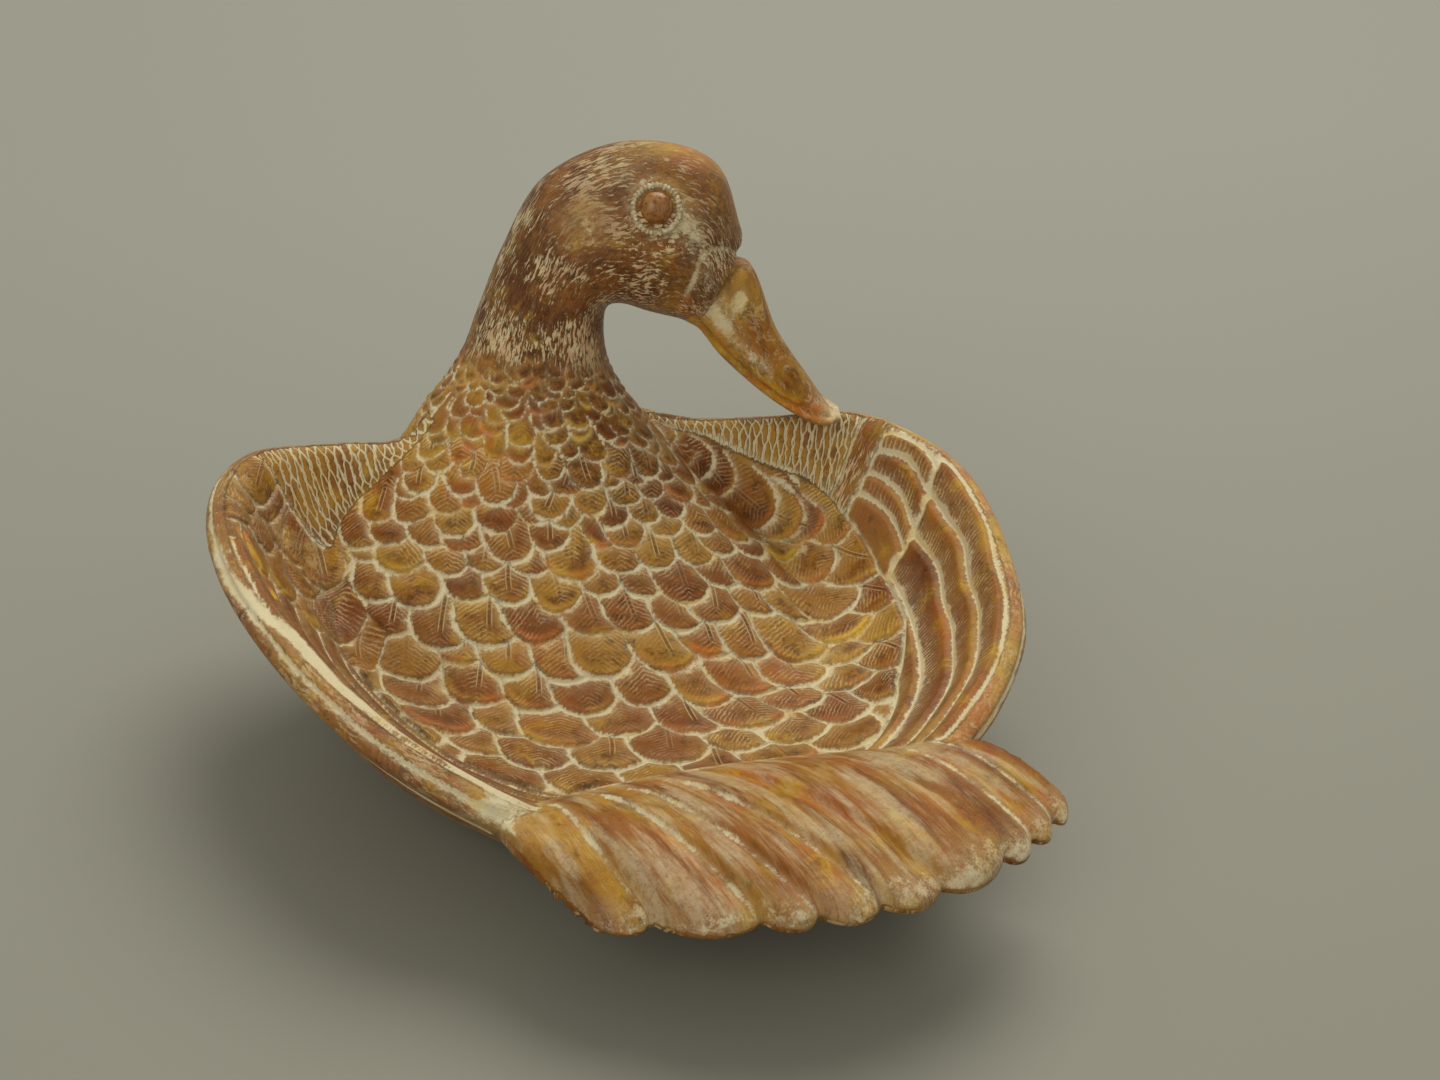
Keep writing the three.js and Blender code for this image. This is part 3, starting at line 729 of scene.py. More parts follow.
# The rows start beside the tail and go on to the neck's foot
angles = np.arange(-11, 12) * SCALE_WIDTH * 1.02 / FIRST_ROW_REACH
reaches = np.full(len(angles), FIRST_ROW_REACH - 9.0)
for _ in range(MOST_ROWS):
    spots = np.array([fan_place(angle, reach_here) for angle, reach_here in zip(angles, reaches)])
    for index, spot in enumerate(spots):
        here = field_ground(spot, 92)
        if here is None:
            continue
        place, facing, width = here
        neighbours = spots[min(index + 1, len(spots) - 1)] - spots[max(index - 1, 0)]
        across_row = np.array([neighbours[1], -neighbours[0], 0.0])
        loose = np.interp(width, [5, 12], [1.0, 0.35])
        leaning = np.append(rng.normal(0, 0.10 + 0.20 * loose, 2), 0)
        tip_way = unit(fan_way(angles[index]) + 0.6 * unit(across_row) + leaning)
        width *= rng.uniform(1.06 - 0.2 * loose, 1.22 + 0.2 * loose)
        place = place + np.append(rng.normal(0, 0.03 + 0.12 * loose, 2) * width, 0)
        lay_scale(place, tip_way, facing, width, width * rng.uniform(0.54, 0.68), 0.25 + 0.06 * width)
    ends = angles[0] - 0.5 * (angles[1] - angles[0]), angles[-1] + 0.5 * (angles[-1] - angles[-2])
    candidates = np.concatenate([ends[:1], (angles[1:] + angles[:-1]) / 2, ends[1:]])
    candidates = candidates[np.abs(candidates) < 1.5]
    kept_angles, kept_reaches = [], []
    for angle in candidates:
        reach_here = next_reach(angle, float(np.interp(angle, angles, reaches)))
        spot = fan_place(angle, reach_here)
        here = ground(*spot)
        width = SCALE_WIDTH if here is None else here[2]
        if kept_angles:
            gap = np.linalg.norm(spot - fan_place(kept_angles[-1], kept_reaches[-1]))
            if gap < 0.66 * width:
                continue
            if gap > 1.5 * width:
                kept_angles.append((angle + kept_angles[-1]) / 2)
                kept_reaches.append((reach_here + kept_reaches[-1]) / 2)
        kept_angles.append(angle)
        kept_reaches.append(reach_here)
    angles, reaches = np.array(kept_angles), np.array(kept_reaches)
    if reaches.max() < LAST_ROW_REACH:
        break

# Up the neck's foot the scales follow its rings and end as small pebbles
ring_step = 0.0
for ring in range(HILL_RING - 1, SEAM_RING + 16):
    ring_step += np.linalg.norm(neck_rings[ring] - neck_rings[ring - 1], axis=1).mean()
    width = float(np.interp(ring, [HILL_RING, SEAM_RING, SEAM_RING + 14], [6.2, 4.4, 3.4]))
    if ring_step < width * 0.55:
        continue
    ring_step = 0.0
    loop, lower = kept_in_dish(neck_rings[ring]), kept_in_dish(neck_rings[ring - 3])
    path = path_length(np.vstack([loop, loop[:1]]))
    count = max(int(path[-1] / (width * 0.98)), 8)
    offset = rng.random()
    for number in range(count):
        stop = (number + offset + rng.normal(0, 0.2)) / count % 1 * path[-1]
        index = int(np.searchsorted(path, stop)) % RING_SIDES
        centre, below = loop[index], lower[index]
        tip_way = unit(below - centre + rng.normal(0, 0.16, 3) * np.linalg.norm(below - centre))
        facing = unit(np.cross(loop[(index + 1) % RING_SIDES] - loop[index - 1], tip_way))
        if facing @ (centre - loop.mean(0)) <= 0:
            facing = -facing
        size = width * rng.uniform(0.8, 1.35)
        lay_scale(
            centre + tip_way * rng.normal(0, 0.12) * width, tip_way, facing,
            size, size * rng.uniform(0.42, 0.7), 0.4 + 0.07 * width, barbed=0.2,
        )


# The wings: long feathers beside the rim, tiers of shorter ones before them, and a strip at the shoulder
def band(value, lines):
    """The band that a value falls in, how far it has come through it, and the band's width."""
    lines = [line + 0 * value for line in lines]
    number, through, width = np.zeros(len(value), int), np.zeros(len(value)), np.ones(len(value))
    for index, (low, high) in enumerate(zip(lines[:-1], lines[1:])):
        here = (value >= low) & (value < high)
        number[here] = index
        through[here] = ((value - low) / np.maximum(high - low, 1e-6))[here]
        width[here] = (high - low)[here]
    return number, through, width


def feather_ridge(through, width_mm, height):
    """A feather seen across: low beside the groove of its neighbour, raised at its free edge."""
    rising = through**1.25 * (1 - 0.75 * smooth(through, 0.86, 1.0))
    groove = hump(through * width_mm, 0.9) + hump((1 - through) * width_mm, 0.7)
    return height * rising - 0.55 * np.minimum(groove, 1)


WING_HATCH = 0.78
WING_WIDTH_MM = 95
TIER_TURN = 27.6
rim_order = np.argsort(RIM_TURN)
rim_in_order = RIM[rim_order]
rim_lengths = path_length(np.vstack([rim_in_order[-1:], rim_in_order]))[1:]
rim_path = np.interp(turn, RIM_TURN[rim_order], rim_lengths, period=2 * np.pi)
share_mm = share * WING_WIDTH_MM
degree_mm = np.radians(1) * distance
on_dish = on["dish"] | (on["neck"] & inner & (to_part["dish"] < 0.6))
field_edge = field_share(wing_turn, left)
in_wing = on_dish & inner & (share > field_edge) & (wing_turn > -62)
strip_turn = np.where(left, 38.0, 32.5) - 3 * (1 - share)
primary_turn = np.interp(share, [0.7, 0.77, 0.86, 0.924, 1.0], [8.5, 9.8, 11.8, 14.2, 17.5])
primary_turn = primary_turn + 0.3 * np.sin(share_mm)
wobble = 0.004 * np.sin(wing_turn * 0.16 + 1.0) + 0.003 * np.sin(wing_turn * 0.37 + share * 9)


def feathers(mask, lines, height, tones, warmth=0.35):
    """Feathers side by side: hatched and pale at the inner side of each, brown at its raised free edge."""
    number, through, width = band(share, lines)
    width_mm = width * distance * 1.5
    pale_lines = 0.95 * hump(through * width_mm, 1.1) + 0.3 * hump((1 - through) * width_mm, 0.8)
    lay(
        mask,
        lift=feather_ridge(through, width_mm, height),
        wash=pale_lines + 0.62 * (1 - through) ** 1.5,
        warm=warmth * smooth(through, 0.5, 0.9) * (0.5 + 0.5 * np.sin(rim_path * 0.09 + number * 2)),
        dark=0.35 * smooth(through, 0.1, 0.4) * (1 - smooth(through, 0.6, 0.9)),
        tone=np.array(tones)[number], barbs=np.clip(1.35 - 1.5 * through, 0, 1),
        flow_x=rim_path * WING_HATCH, flow_y=share_mm, flow_z=0.25,
    )
    return number


primaries = in_wing & (wing_turn < primary_turn) & ~left
lines = [field_edge, 0.783, 0.865 + wobble, 0.923 + wobble, 0.985 + wobble, 1.08]
number = feathers(primaries, lines, 1.3, [0.35, 0.15, 0.6, 0.5, 0.8])
dark_patch = primaries & (number == 1) & (wing_turn > -16)
lay(dark_patch, dark=0.9 * smooth(wing_turn, -16, -4), barbs=barbs * 0.5)

tier = in_wing & (wing_turn >= primary_turn) & (wing_turn < TIER_TURN) & ~left
bow = np.clip((wing_turn - primary_turn) / (TIER_TURN - primary_turn), 0, 1)
bulge = 0.012 * np.sin(np.pi * bow)
tier_lines = ((0.834, 0.866), (0.872, 0.902), (0.926, 0.934), (0.960, 0.970))
lines = [field_edge, *[mix(low, high, bow) + bulge for low, high in tier_lines], 1.08]
number = feathers(tier, lines, 1.1, [0.45, 0.6, 0.3, 0.7, 0.5], 0.3)
lay(tier, lift=lift + 1 - smooth((wing_turn - primary_turn) * degree_mm, 0, 14))
lay(tier & (number == 0), barbs=0.05, warm=0.1, wash=0.12)

# The other wing stands steeper: long narrow feathers below its crest, and small rounded ones at the shoulder
narrow = in_wing & left & (wing_turn < 16)
sinking = 0.05 * smooth(-wing_turn, 0, 45)
lines = [mix(0.735, 0.985, k / 5) + wobble - sinking * (5 - k) / 5 for k in range(6)]
feathers(narrow, [field_edge, *lines, 1.1], 0.9, [0.3, 0.15, 0.3, 0.1, 0.4, 0.2, 0.6], 0.12)
# The inside of this wing is painted darker below its crest, with thinner wash: partly darker paint, partly
# painted shade
lay(narrow, dark=np.maximum(dark, 0.55 * (share < 0.97)), wash=wash * 0.6)
shoulder = in_wing & left & (wing_turn >= 16) & (wing_turn < strip_turn)
lay(shoulder, wash=0.15, tone=0.3, dark=0.5, strokes=0.3, flow_x=rim_path, flow_y=share_mm)

# Each lobe's turn in degrees, and its share of the way out to the crest
LOBES = [
    (15.7, 0.690), (19, 0.93), (21.8, 0.795), (22.7, 0.735), (22, 0.865), (27, 0.975), (28.8, 0.917),
    (30.1, 0.820), (34.9, 0.889), (35.6, 0.856), (34.8, 0.930), (31.2, 0.975), (35.7, 0.961), (35, 0.79),
]
for turned, out in LOBES:
    angle = math.radians(180 - turned)
    gone = out * (round_rim(angle, RIM_REACH) - RIM_RADIUS)
    place, facing, _ = ground(gone * math.cos(angle), BASIN_CENTRE_Y + gone * math.sin(angle))
    size = rng.uniform(10.0, 13.0)
    lay_scale(place, np.array([-0.25, -1.0, 0]), facing, size, size * 0.85, 1.1, painted=0.6, barbed=0.7)

strip = in_wing & (wing_turn >= TIER_TURN) & (wing_turn < strip_turn) & ~left
lay(
    strip, lift=0.9 * (1 - smooth((wing_turn - TIER_TURN) * degree_mm, 0, 10)) + 0.3,
    tone=0.35, warm=0.3, wash=0.15, strokes=0.8, flow_x=share_mm, flow_y=rim_path,
)
netted = (on["dish"] | on["neck"]) & inner & (wing_turn >= strip_turn) & (share > field_edge)
netted &= (np.abs(body[:, 0]) > 24) & (height_above < 62)
lay(
    netted, net=1, lift=0, wash=0.1, barbs=0, shaft=0, tone=0.85,
    flow_x=(1 - share) * 110, flow_y=np.where(left, -rim_path, rim_path),
)

# Pale grooves where one tier of feathers ends over the next, and where the wing meets the scales
right_wing = in_wing & ~left
for line, depth, limit in (
    (primary_turn, 0.8, right_wing), (TIER_TURN, 0.7, right_wing), (strip_turn, 0.5, in_wing),
):
    away = (line - wing_turn) * degree_mm
    groove_wash = np.maximum(wash, 0.9 * hump(away - 0.3, 1.15))
    below = limit & (away > -2.5) & (away < 5)
    lay(below, lift=lift - depth * hump(away, 1.4), wash=groove_wash, dark=dark * 0.3)
edge_gap = (share - field_edge) * distance * 1.4
foot = in_wing & (edge_gap < 4)
foot_wash = np.maximum(wash, np.where(left, 0.25, 0.8) * hump(edge_gap, 1.6))
lay(foot, lift=lift - 0.9 * hump(edge_gap, 1.2), wash=foot_wash)
lay(foot & left, dark=0.7)

# The wings' crests and outer sides: long feathers one below another
outside_wing = on["dish"] & ~inner & (wing_turn < 52) & (wing_turn > -70) & (height_above > 4)
sway = 1.5 * np.sin(wing_turn * 0.09) + 0.6 * np.sin(wing_turn * 0.31)
first_line = np.where(left, 3.2, 4.5) + 0.2 * sway
lines = [-1, first_line, 9.5 + 0.6 * sway, 17 + sway, 28 + sway, 41 + sway, 55 + sway, 90]
number, through, width = band(outer_path, lines)
crest = number == 0
ridge = 0.9 * through**1.2 * (1 - 0.8 * smooth(through, 0.84, 1)) - 0.6 * hump(through * width, 1.2)
fade_out = smooth(height_above, 4, 14) * (1 - smooth(wing_turn, 44, 52))
groove_wash = fade_out * (0.95 * hump(through * width, 1.3) + 0.2 * (1 - through))
lay(
    outside_wing,
    lift=ridge * fade_out * np.where(crest, 0.3, 1),
    wash=np.where(crest, np.where(left, 0.2, 0.3), groove_wash),
    warm=np.where(crest & ~left, 0.65, 0.35 * smooth(through, 0.5, 0.9)),
    tone=np.array([0.5, 0.4, 0.6, 0.4, 0.6, 0.45, 0.5])[number],
    barbs=np.where(crest, np.where(left, 0.1, 0.25), 0.12),
    strokes=np.where(left & (number < 2), 0.45, 0.35),
    flow_x=rim_path * WING_HATCH, flow_y=outer_path, flow_z=0.2,
)

# The bold pale line along the left wing's crest, and a short warm one inside it
LINE_TURNS = [-60, -42, -31.8, -22.5, -9.5, -1.8, 5.9, 14]
LINE_SHARES = [0.955, 0.96, 0.965, 0.978, 0.985, 1.013, 1.036, 1.04]
line_share = np.interp(wing_turn, LINE_TURNS, LINE_SHARES)
from_line = np.where(share < 1, (share - line_share) * reach, outer_path - (line_share - 1) * reach)
bold = left & on["dish"] & (wing_turn < 20) & (wing_turn > -58) & (np.abs(from_line) < 6)
bold_line = np.exp(-((np.abs(from_line) / 2.3) ** 3)) * smooth(-wing_turn, -20, -12)
lay(
    bold, wash=np.maximum(wash, bold_line), lift=lift - 0.5 * bold_line,
    strokes=strokes * (1 - bold_line), barbs=barbs * (1 - bold_line),
)
streak_share = np.interp(wing_turn, [5, 14, 19], [0.93, 0.945, 0.968])
streak = left & in_wing & (np.abs(share - streak_share) < 0.012) & (wing_turn > 5) & (wing_turn < 19)
lay(streak, warm=1)

# The breast's outside: rows of scales like the basin's, from the lowest row upwards
BREAST_ROWS = 9
for row in reversed(range(BREAST_ROWS)):
    for column in range(-8, 9):
        breast_turn = math.radians(90 + (column + 0.5 * (row % 2)) * 6.6)
        dx, dy = math.cos(breast_turn), math.sin(breast_turn)
        start = (dx * 160, dy * 160 + BASIN_CENTRE_Y, 52.0 - (2.5 + 8.0 * row) * 0.62)
        place, facing, _, _ = dish_tree.ray_cast(start, (-dx, -dy, 0))
        size = 11.0 * rng.uniform(0.95, 1.1)
        lay_scale(
            np.array(place), np.array(DOWN, float), np.array(facing),
            size, size * 0.62, 0.75, painted=0.7, barbed=0.8,
        )
lay(on["dish"] & ~inner & (wing_turn > 52), strokes=0.4)

# The tail: each vertex finds its feather by going back from its place in plan
TAIL_WIDTH_MM = 115
TAIL_MARGIN = 0.1
along = np.full(len(body), 0.5)
side = np.zeros(len(body))
for _ in range(12):
    forth = np.clip(along, 0, 1)
    fanned = forth**TAIL_FAN_POWER
    half_width = mix(TAIL_ROOT_HALF_WIDTH, TAIL_SPREAD, fanned)
    side = (body[:, 0] + tail_lag(side, forth) - TAIL_SWEEP * fanned) / half_width
    side = np.clip(side, -1.15, 1.15)
    root_y, tip_y = tail_ends(side)
    along = mix(along, np.clip((root_y - body[:, 1]) / (root_y - tip_y), -0.2, 1.2), 0.7)
lines = mix(TAIL_EDGES_ROOT[:, None], TAIL_EDGES_TIP[:, None], np.clip(along, 0, 1))
lines[0] -= TAIL_MARGIN
lines[-1] += TAIL_MARGIN
number, through, width = band((side + 1) / 2, lines)
through = np.where(number == 0, np.clip((side + 1) / 2 / lines[1], 0, 1), through)
on_tail = on["tail"] & (normals[:, 2] > 0)
top_feather = number == TAIL_TOP_FEATHER
free = np.where(number > TAIL_TOP_FEATHER, through, 1 - through)
free = np.where(top_feather, np.minimum(through, 1 - through) + 0.02, free)
edge_mm = free * width * TAIL_WIDTH_MM
tucked_mm = np.where(top_feather, 9, (1 - free) * width * TAIL_WIDTH_MM)
fade_in = smooth(along, 0.0, 0.16) * smooth(normals[:, 2], 0.1, 0.6)
tip_pale = smooth(along, 0.80, 1.0) * np.where(number >= TAIL_TOP_FEATHER, 1.1, 0.9)
groove_pale = hump(tucked_mm, 1.2) * fade_in
at_root = hump((along - 0.03) * TAIL_LENGTH, 2.6)
tail_across = (side + 1) * 58
lay(
    on_tail,
    lift=(0.3 * np.sin(np.pi * through) - 0.5 * hump(tucked_mm, 1.1)) * fade_in,
    wash=np.maximum(np.maximum(1.1 * groove_pale, 0.6 * tip_pale), 0.5 * at_root),
    warm=0.4 * hump(edge_mm - 1.6, 1.4) + 0.12,
    dark=0.25 * smooth(tucked_mm, 1.5, 3) * (1 - smooth(tucked_mm, 5, 9)) * (1 - tip_pale.clip(0, 1)),
    tone=np.array([0.7, 0.35, 0.65, 0.45, 0.7, 0.5, 0.35, 0.6, 0.4])[number],
    barbs=0, strokes=0.16, flow_x=along * 26, flow_y=tail_across, flow_z=1,
)
# Painted shade: dark along the edge of the feather beside the top one, near the tips, where that edge lies
# under the top feather
crevice_painted_shade = on_tail & (number == TAIL_TOP_FEATHER + 1) & (along > 0.72)
lay(crevice_painted_shade, dark=hump(edge_mm, 3.5))
lay(on["tail"] & ~on_tail, flow_x=along * 75, flow_y=tail_across, strokes=0.5)

# The neck and head: strokes that follow the form
head_reach, head_height, head_side = ((body - NECK_FOOT) @ way for way in (FORWARD, UPWARD, SIDEWAYS))
above_seam = on["neck"] & (head_height > SEAM_HEIGHT - 4)
neck_path = path_length(neck_rings.mean(1))
ring_points = neck_rings.reshape(-1, 3)
ring_tree = KDTree(len(ring_points))
for index, place in enumerate(ring_points.tolist()):
    ring_tree.insert(place, index)
ring_tree.balance()
found = np.array([ring_tree.find(place)[1] for place in body[above_seam].tolist()])
ring_number = np.clip(found // RING_SIDES, 1, NECK_RINGS - 2)
ring_side = found % RING_SIDES
ahead = neck_rings[ring_number + 1, ring_side] - neck_rings[ring_number - 1, ring_side]
round_way = neck_rings[ring_number, (ring_side + 1) % RING_SIDES] - neck_rings[ring_number, ring_side - 1]
offset = body[above_seam] - ring_points[found]
flow[above_seam, 0] = neck_path[ring_number] + (offset * unit(ahead)).sum(1)
flow[above_seam, 1] = ring_side * 0.85 + (offset * unit(round_way)).sum(1)
past_pebbles = smooth(head_height, SEAM_HEIGHT - 3, SEAM_HEIGHT + 9)
lay(
    above_seam, strokes=past_pebbles, barbs=barbs * (1 - past_pebbles), lift=lift * (1 - past_pebbles),
    wash=mix(wash, 0.12, past_pebbles), tone=mix(tone, 0.36, past_pebbles),
)
on_bill = on["bill"]
on_head = on["neck"] | on_bill
lay(
    on_bill, strokes=0.35, tone=0.40, warm=warm + 0.15, flow_x=head_reach * 0.6 - head_height * 0.8,
    flow_y=head_side + head_reach * 0.64 + head_height * 0.48,
)


def blob(reach, height, aside, radius, stretch=(1, 1, 1)):
    """A soft patch round a place on the head, the same on both sides."""
    away = (
        ((head_reach - reach) / stretch[0]) ** 2
        + ((head_height - height) / stretch[1]) ** 2
        + ((np.abs(head_side) - aside) / stretch[2]) ** 2
    )
    return np.exp(-away / radius**2) * on_head


def add_blobs(layer, *blobs):
    """Adds soft patches to a layer, each given as its amount and what blob takes."""
    for amount, *where in blobs:
        layer += amount * blob(*where)


# Round the eye, over the cheek and the crown
eye_gap = np.hypot(head_reach - EYE_FORWARD, head_height - EYE_HEIGHT)
eye_side = (np.abs(head_side) > 9) & on["neck"] & (head_height > SEAM_HEIGHT + 20)
lift -= 0.8 * hump(eye_gap - 8.6, 2.0) * eye_side
wash += 0.30 * hump(eye_gap - 7.4, 1.2) * eye_side
add_blobs(lift, (1.2, 12, 45, 17, 8), (0.9, 26, 68, 12, 5, (2, 1, 1)), (-0.5, 33, 50, 16, 4))
add_blobs(warm, (0.7, 30, 73, 0, 9, (1.5, 1, 1)), (0.6, 23, 48, 17, 3))
# Pale patches on the head; the last one, on the forehead, is a painted highlight
add_blobs(
    wash, (0.5, 32, 51, 17, 2.6, (1, 2, 2)), (0.45, 36, 42, 15, 2.4, (1, 2, 2)), (0.30, 3, 54, 16, 7),
    (0.25, 14, 66, 13, 5), (0.4, 28, 56, 17, 4, (1, 1.3, 2)), (0.3, 43, 62, 3, 4),
)
add_blobs(
    dark, (1.0, 24, 40, 17, 5.5, (1.7, 0.8, 2)), (0.9, 40, 60, 9, 7, (0.8, 1.2, 1.5)),
    (0.8, 36, 55, 14, 5, (0.8, 1.4, 2)), (0.7, 0, 16, 15, 9), (0.8, 18, 70, 9, 6, (1.5, 1, 1)),
    (0.9, -6, 14, 16, 10), (0.8, 8, 30, 14, 8), (0.6, -12, 44, 14, 7, (1, 2, 2)),
    (0.7, 34, 66, 8, 5, (1.5, 1, 2)),
)
strokes *= 1 - 0.8 * np.minimum(1.4 * blob(2, 54, 16, 8), 1)
strokes *= 1 - 0.8 * blob(40, 62, 0, 13, (1, 1.2, 2))
strokes *= 1 - 0.5 * blob(20, 72, 0, 14, (1.6, 1, 2))

# The bill: its feathered edge, the gape and the nostrils
BASE_EDGE = np.array([
    [29.5, 33.0], [31.5, 38.7], [33.3, 45.2], [36.3, 48.4], [40.5, 48.2], [44.2, 46.7], [47.0, 43.5],
])
GAPE = np.array([
    [29.5, 33.5], [33.0, 30.0], [36.5, 25.5], [41.0, 20.5], [46.5, 15.5], [52.0, 11.0], [58.7, 6.6],
    [66.0, 3.6], [73.0, 1.4],
])


def distance_to_line(line):
    """How far each vertex lies from a line that is drawn on the head's side view."""
    points = np.stack([head_reach, head_height], -1)
    best = np.full(len(points), 1e9)
    for a, b in zip(line[:-1], line[1:]):
        way = b - a
        t = np.clip(((points - a) @ way) / (way @ way), 0, 1)
        best = np.minimum(best, np.linalg.norm(points - a - t[:, None] * way, axis=1))
    return best


at_base = on_head & (head_reach > 25) & (head_height > 28)
base_line = hump(distance_to_line(BASE_EDGE), 0.9) * at_base
lift -= 0.6 * base_line
wash += 0.5 * base_line
gape_gap = distance_to_line(GAPE)
at_gape = on_head & (head_reach > 27) & (np.abs(head_side) > 3)
lift += (0.35 * hump(gape_gap - 1.8, 1.0) - 0.7 * hump(gape_gap, 0.7)) * at_gape
warm += 0.9 * hump(gape_gap - 1.2, 1.0) * at_gape
wash += 0.55 * hump(gape_gap - 4.4, 2.0) * (on_bill & (head_reach < 56))
bill_along, bill_across = flow[:, 0], flow[:, 1]
bending = 1.1 * np.sin(0.23 * bill_along + 0.4 * bill_across)
streaks = np.sin(2.2 * bill_across + 0.22 * bill_along + bending)
dark += 0.75 * smooth(streaks, 0.0, 0.9) * (on_bill & (gape_gap > 6))
nostril = blob(46, 34, 9.5, 1.0, (1.4, 2.2, 2.5))
nostril_rim = blob(46, 34, 9.5, 1.9, (1.2, 1.7, 2.5))
lift += 0.5 * nostril_rim - 0.9 * nostril
dark += 0.8 * (nostril_rim - nostril).clip(0, 1)
wash += 1.2 * nostril + 0.65 * smooth(head_reach, 62, 76) * on_bill
add_blobs(wash, (0.45, 41, 31, 12, 5, (1.2, 1.4, 2)))
add_blobs(dark, (0.7, 63, 10, 8, 5, (1.3, 0.7, 2)))

# Broad patches of paint over the foot, the basin and the left notch
def patch(x, y, z, radius):
    return np.exp(-((body - [x, y, z]) ** 2).sum(1) / radius**2)


dark += 1.1 * patch(0, 60, 60, 15) + 0.7 * patch(13, 52, 54, 10)
warm += 0.35 * patch(-28, 64, 58, 13) + 0.3 * patch(35, 5, 20, 14) + 0.3 * patch(-30, 10, 22, 14)
at_notch = patch(-57, -57, 36, 9)
wash += 0.5 * at_notch
barbs *= 1 - at_notch

# The sharp steps of the paint and the carving are eased by one vertex
eased = softened(np.stack([lift, wash, warm, dark], -1), edges, np.where(on["tail"], 0.8, 0.12), 2)
lift, wash, warm, dark = eased.T

# The carving shifts the surface, but for the underside, which stays flat
body_shape = body + normals * lift[:, None]
underside = (on["dish"] | on["tail"]) & (height_above < 3.2)
body_shape[underside] = body[underside]
body_shape = softened(body_shape, edges, everywhere * 0.25, 1)
shape_normals = vertex_normals(body_shape, quads)


def piece(name, keep, replaced):
    """The faces of the body that a piece keeps, with what the carving and the paint say at each place."""
    used, inverse = np.unique(quads[keep], return_inverse=True)
    mesh = mesh_from(name, body_shape[used] * METRE, inverse.reshape(-1, 4))
    paint = np.stack([wash, warm, dark, tone], -1).clip(0, 1)
    carving = np.stack([barbs, net, strokes, shaft], -1).clip(0, 1)
    for layer_name, kind, key, values in (
        ("flow", "FLOAT_VECTOR", "vector", flow),
        ("paint", "FLOAT_COLOR", "color", paint),
        ("carving", "FLOAT_COLOR", "color", carving),
    ):
        layer = mesh.attributes.new(layer_name, kind, "POINT")
        layer.data.foreach_set(key, np.ascontiguousarray(values[used], np.float32).ravel())
    mesh.normals_split_custom_set_from_vertices(shape_normals[used])
    mesh.materials.append(resin)
    ob = add_object(name, mesh)
    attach(ob, "root")
    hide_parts(replaced)


# Materials
class Signal:
    """A value in a shader, which can be added, subtracted and multiplied."""

    def __init__(self, nodes, socket):
        self.nodes, self.socket = nodes, socket

    def __add__(self, other):
        return self.nodes.maths("ADD", self, other)

    def __sub__(self, other):
        return self.nodes.maths("SUBTRACT", self, other)

    def __mul__(self, other):
        return self.nodes.maths("MULTIPLY", self, other)


class Nodes:
    """Short ways to make and join shader nodes."""

    def __init__(self, name, roughness):
        self.material = bpy.data.materials.new(name)
        self.material.use_nodes = True
        self.tree = self.material.node_tree
        self.shader = self.tree.nodes["Principled BSDF"]
        self.shade("Roughness", roughness)

    def put(self, value, socket):
        if isinstance(value, Signal):
            self.tree.links.new(value.socket, socket)
        elif isinstance(value, tuple):
            socket.default_value = (*value, 1)
        else:
            socket.default_value = value

    def shade(self, name, value):
        self.put(value, self.shader.inputs[name])

    def node(self, kind, inputs, **settings):
        """The outputs of a new node."""
        node = self.tree.nodes.new("ShaderNode" + kind)
        for name, value in settings.items():
            setattr(node, name, value)
        for name, value in inputs.items():
            self.put(value, node.inputs[name])
        return node.outputs

    def maths(self, operation, a, b=0.0, clamp=False):
        return Signal(self, self.node("Math", {0: a, 1: b}, operation=operation, use_clamp=clamp)[0])

    def most(self, a, b):
        return self.maths("MAXIMUM", a, b)

    def size_of(self, a):
        return self.maths("ABSOLUTE", a)

    def sine(self, a):
        return self.maths("SINE", a)

    def step(self, value, low, high, to_low=0.0, to_high=1.0):
        """A soft step from one value to another."""
        inputs = {"Value": value, "From Min": low, "From Max": high, "To Min": to_low, "To Max": to_high}
        return Signal(self, self.node("MapRange", inputs, interpolation_type="SMOOTHSTEP")["Result"])

    def blend(self, share, a, b):
        """Two colours mixed. Inputs 6 and 7 and output 2 of the node are the ones for colours."""
        return Signal(self, self.node("Mix", {0: share, 6: a, 7: b}, data_type="RGBA")[2])

    def attribute(self, name, output):
        return Signal(self, self.node("Attribute", {}, attribute_name=name)[output])

    def split(self, vector):
        return [Signal(self, output) for output in self.node("SeparateXYZ", {0: vector})]

    def join(self, x, y, z):
        return Signal(self, self.node("CombineXYZ", {0: x, 1: y, 2: z})[0])

    def noise(self, vector, scale, detail=3.0, roughness=0.55):
        inputs = {"Vector": vector, "Scale": scale, "Detail": detail, "Roughness": roughness}
        return Signal(self, self.node("TexNoise", inputs)["Fac"])

    def place(self):
        """The place on the object, in millimetres."""
        place = Signal(self, self.node("TexCoord", {})["Object"])
        return Signal(self, self.node("VectorMath", {0: place, "Scale": 1000}, operation="SCALE")[0])

    def bump(self, height, distance, strength=1.0):
        inputs = {"Distance": distance, "Strength": strength, "Height": height}
        self.shade("Normal", Signal(self, self.node("Bump", inputs)[0]))


BROWN = (0.275, 0.100, 0.015)
RED_BROWN = (0.195, 0.052, 0.010)
DEEP_BROWN = (0.072, 0.019, 0.003)
UMBER = (0.125, 0.030, 0.003)
OCHRE = (0.420, 0.230, 0.028)
ORANGE = (0.600, 0.180, 0.020)
YELLOW = (0.680, 0.420, 0.030)
WASH = (0.700, 0.630, 0.430)
PINK = (0.600, 0.340, 0.200)
OLIVE = (0.223, 0.156, 0.045)
LINE = (0.700, 0.580, 0.350)
PALE_YELLOW = (0.720, 0.520, 0.130)


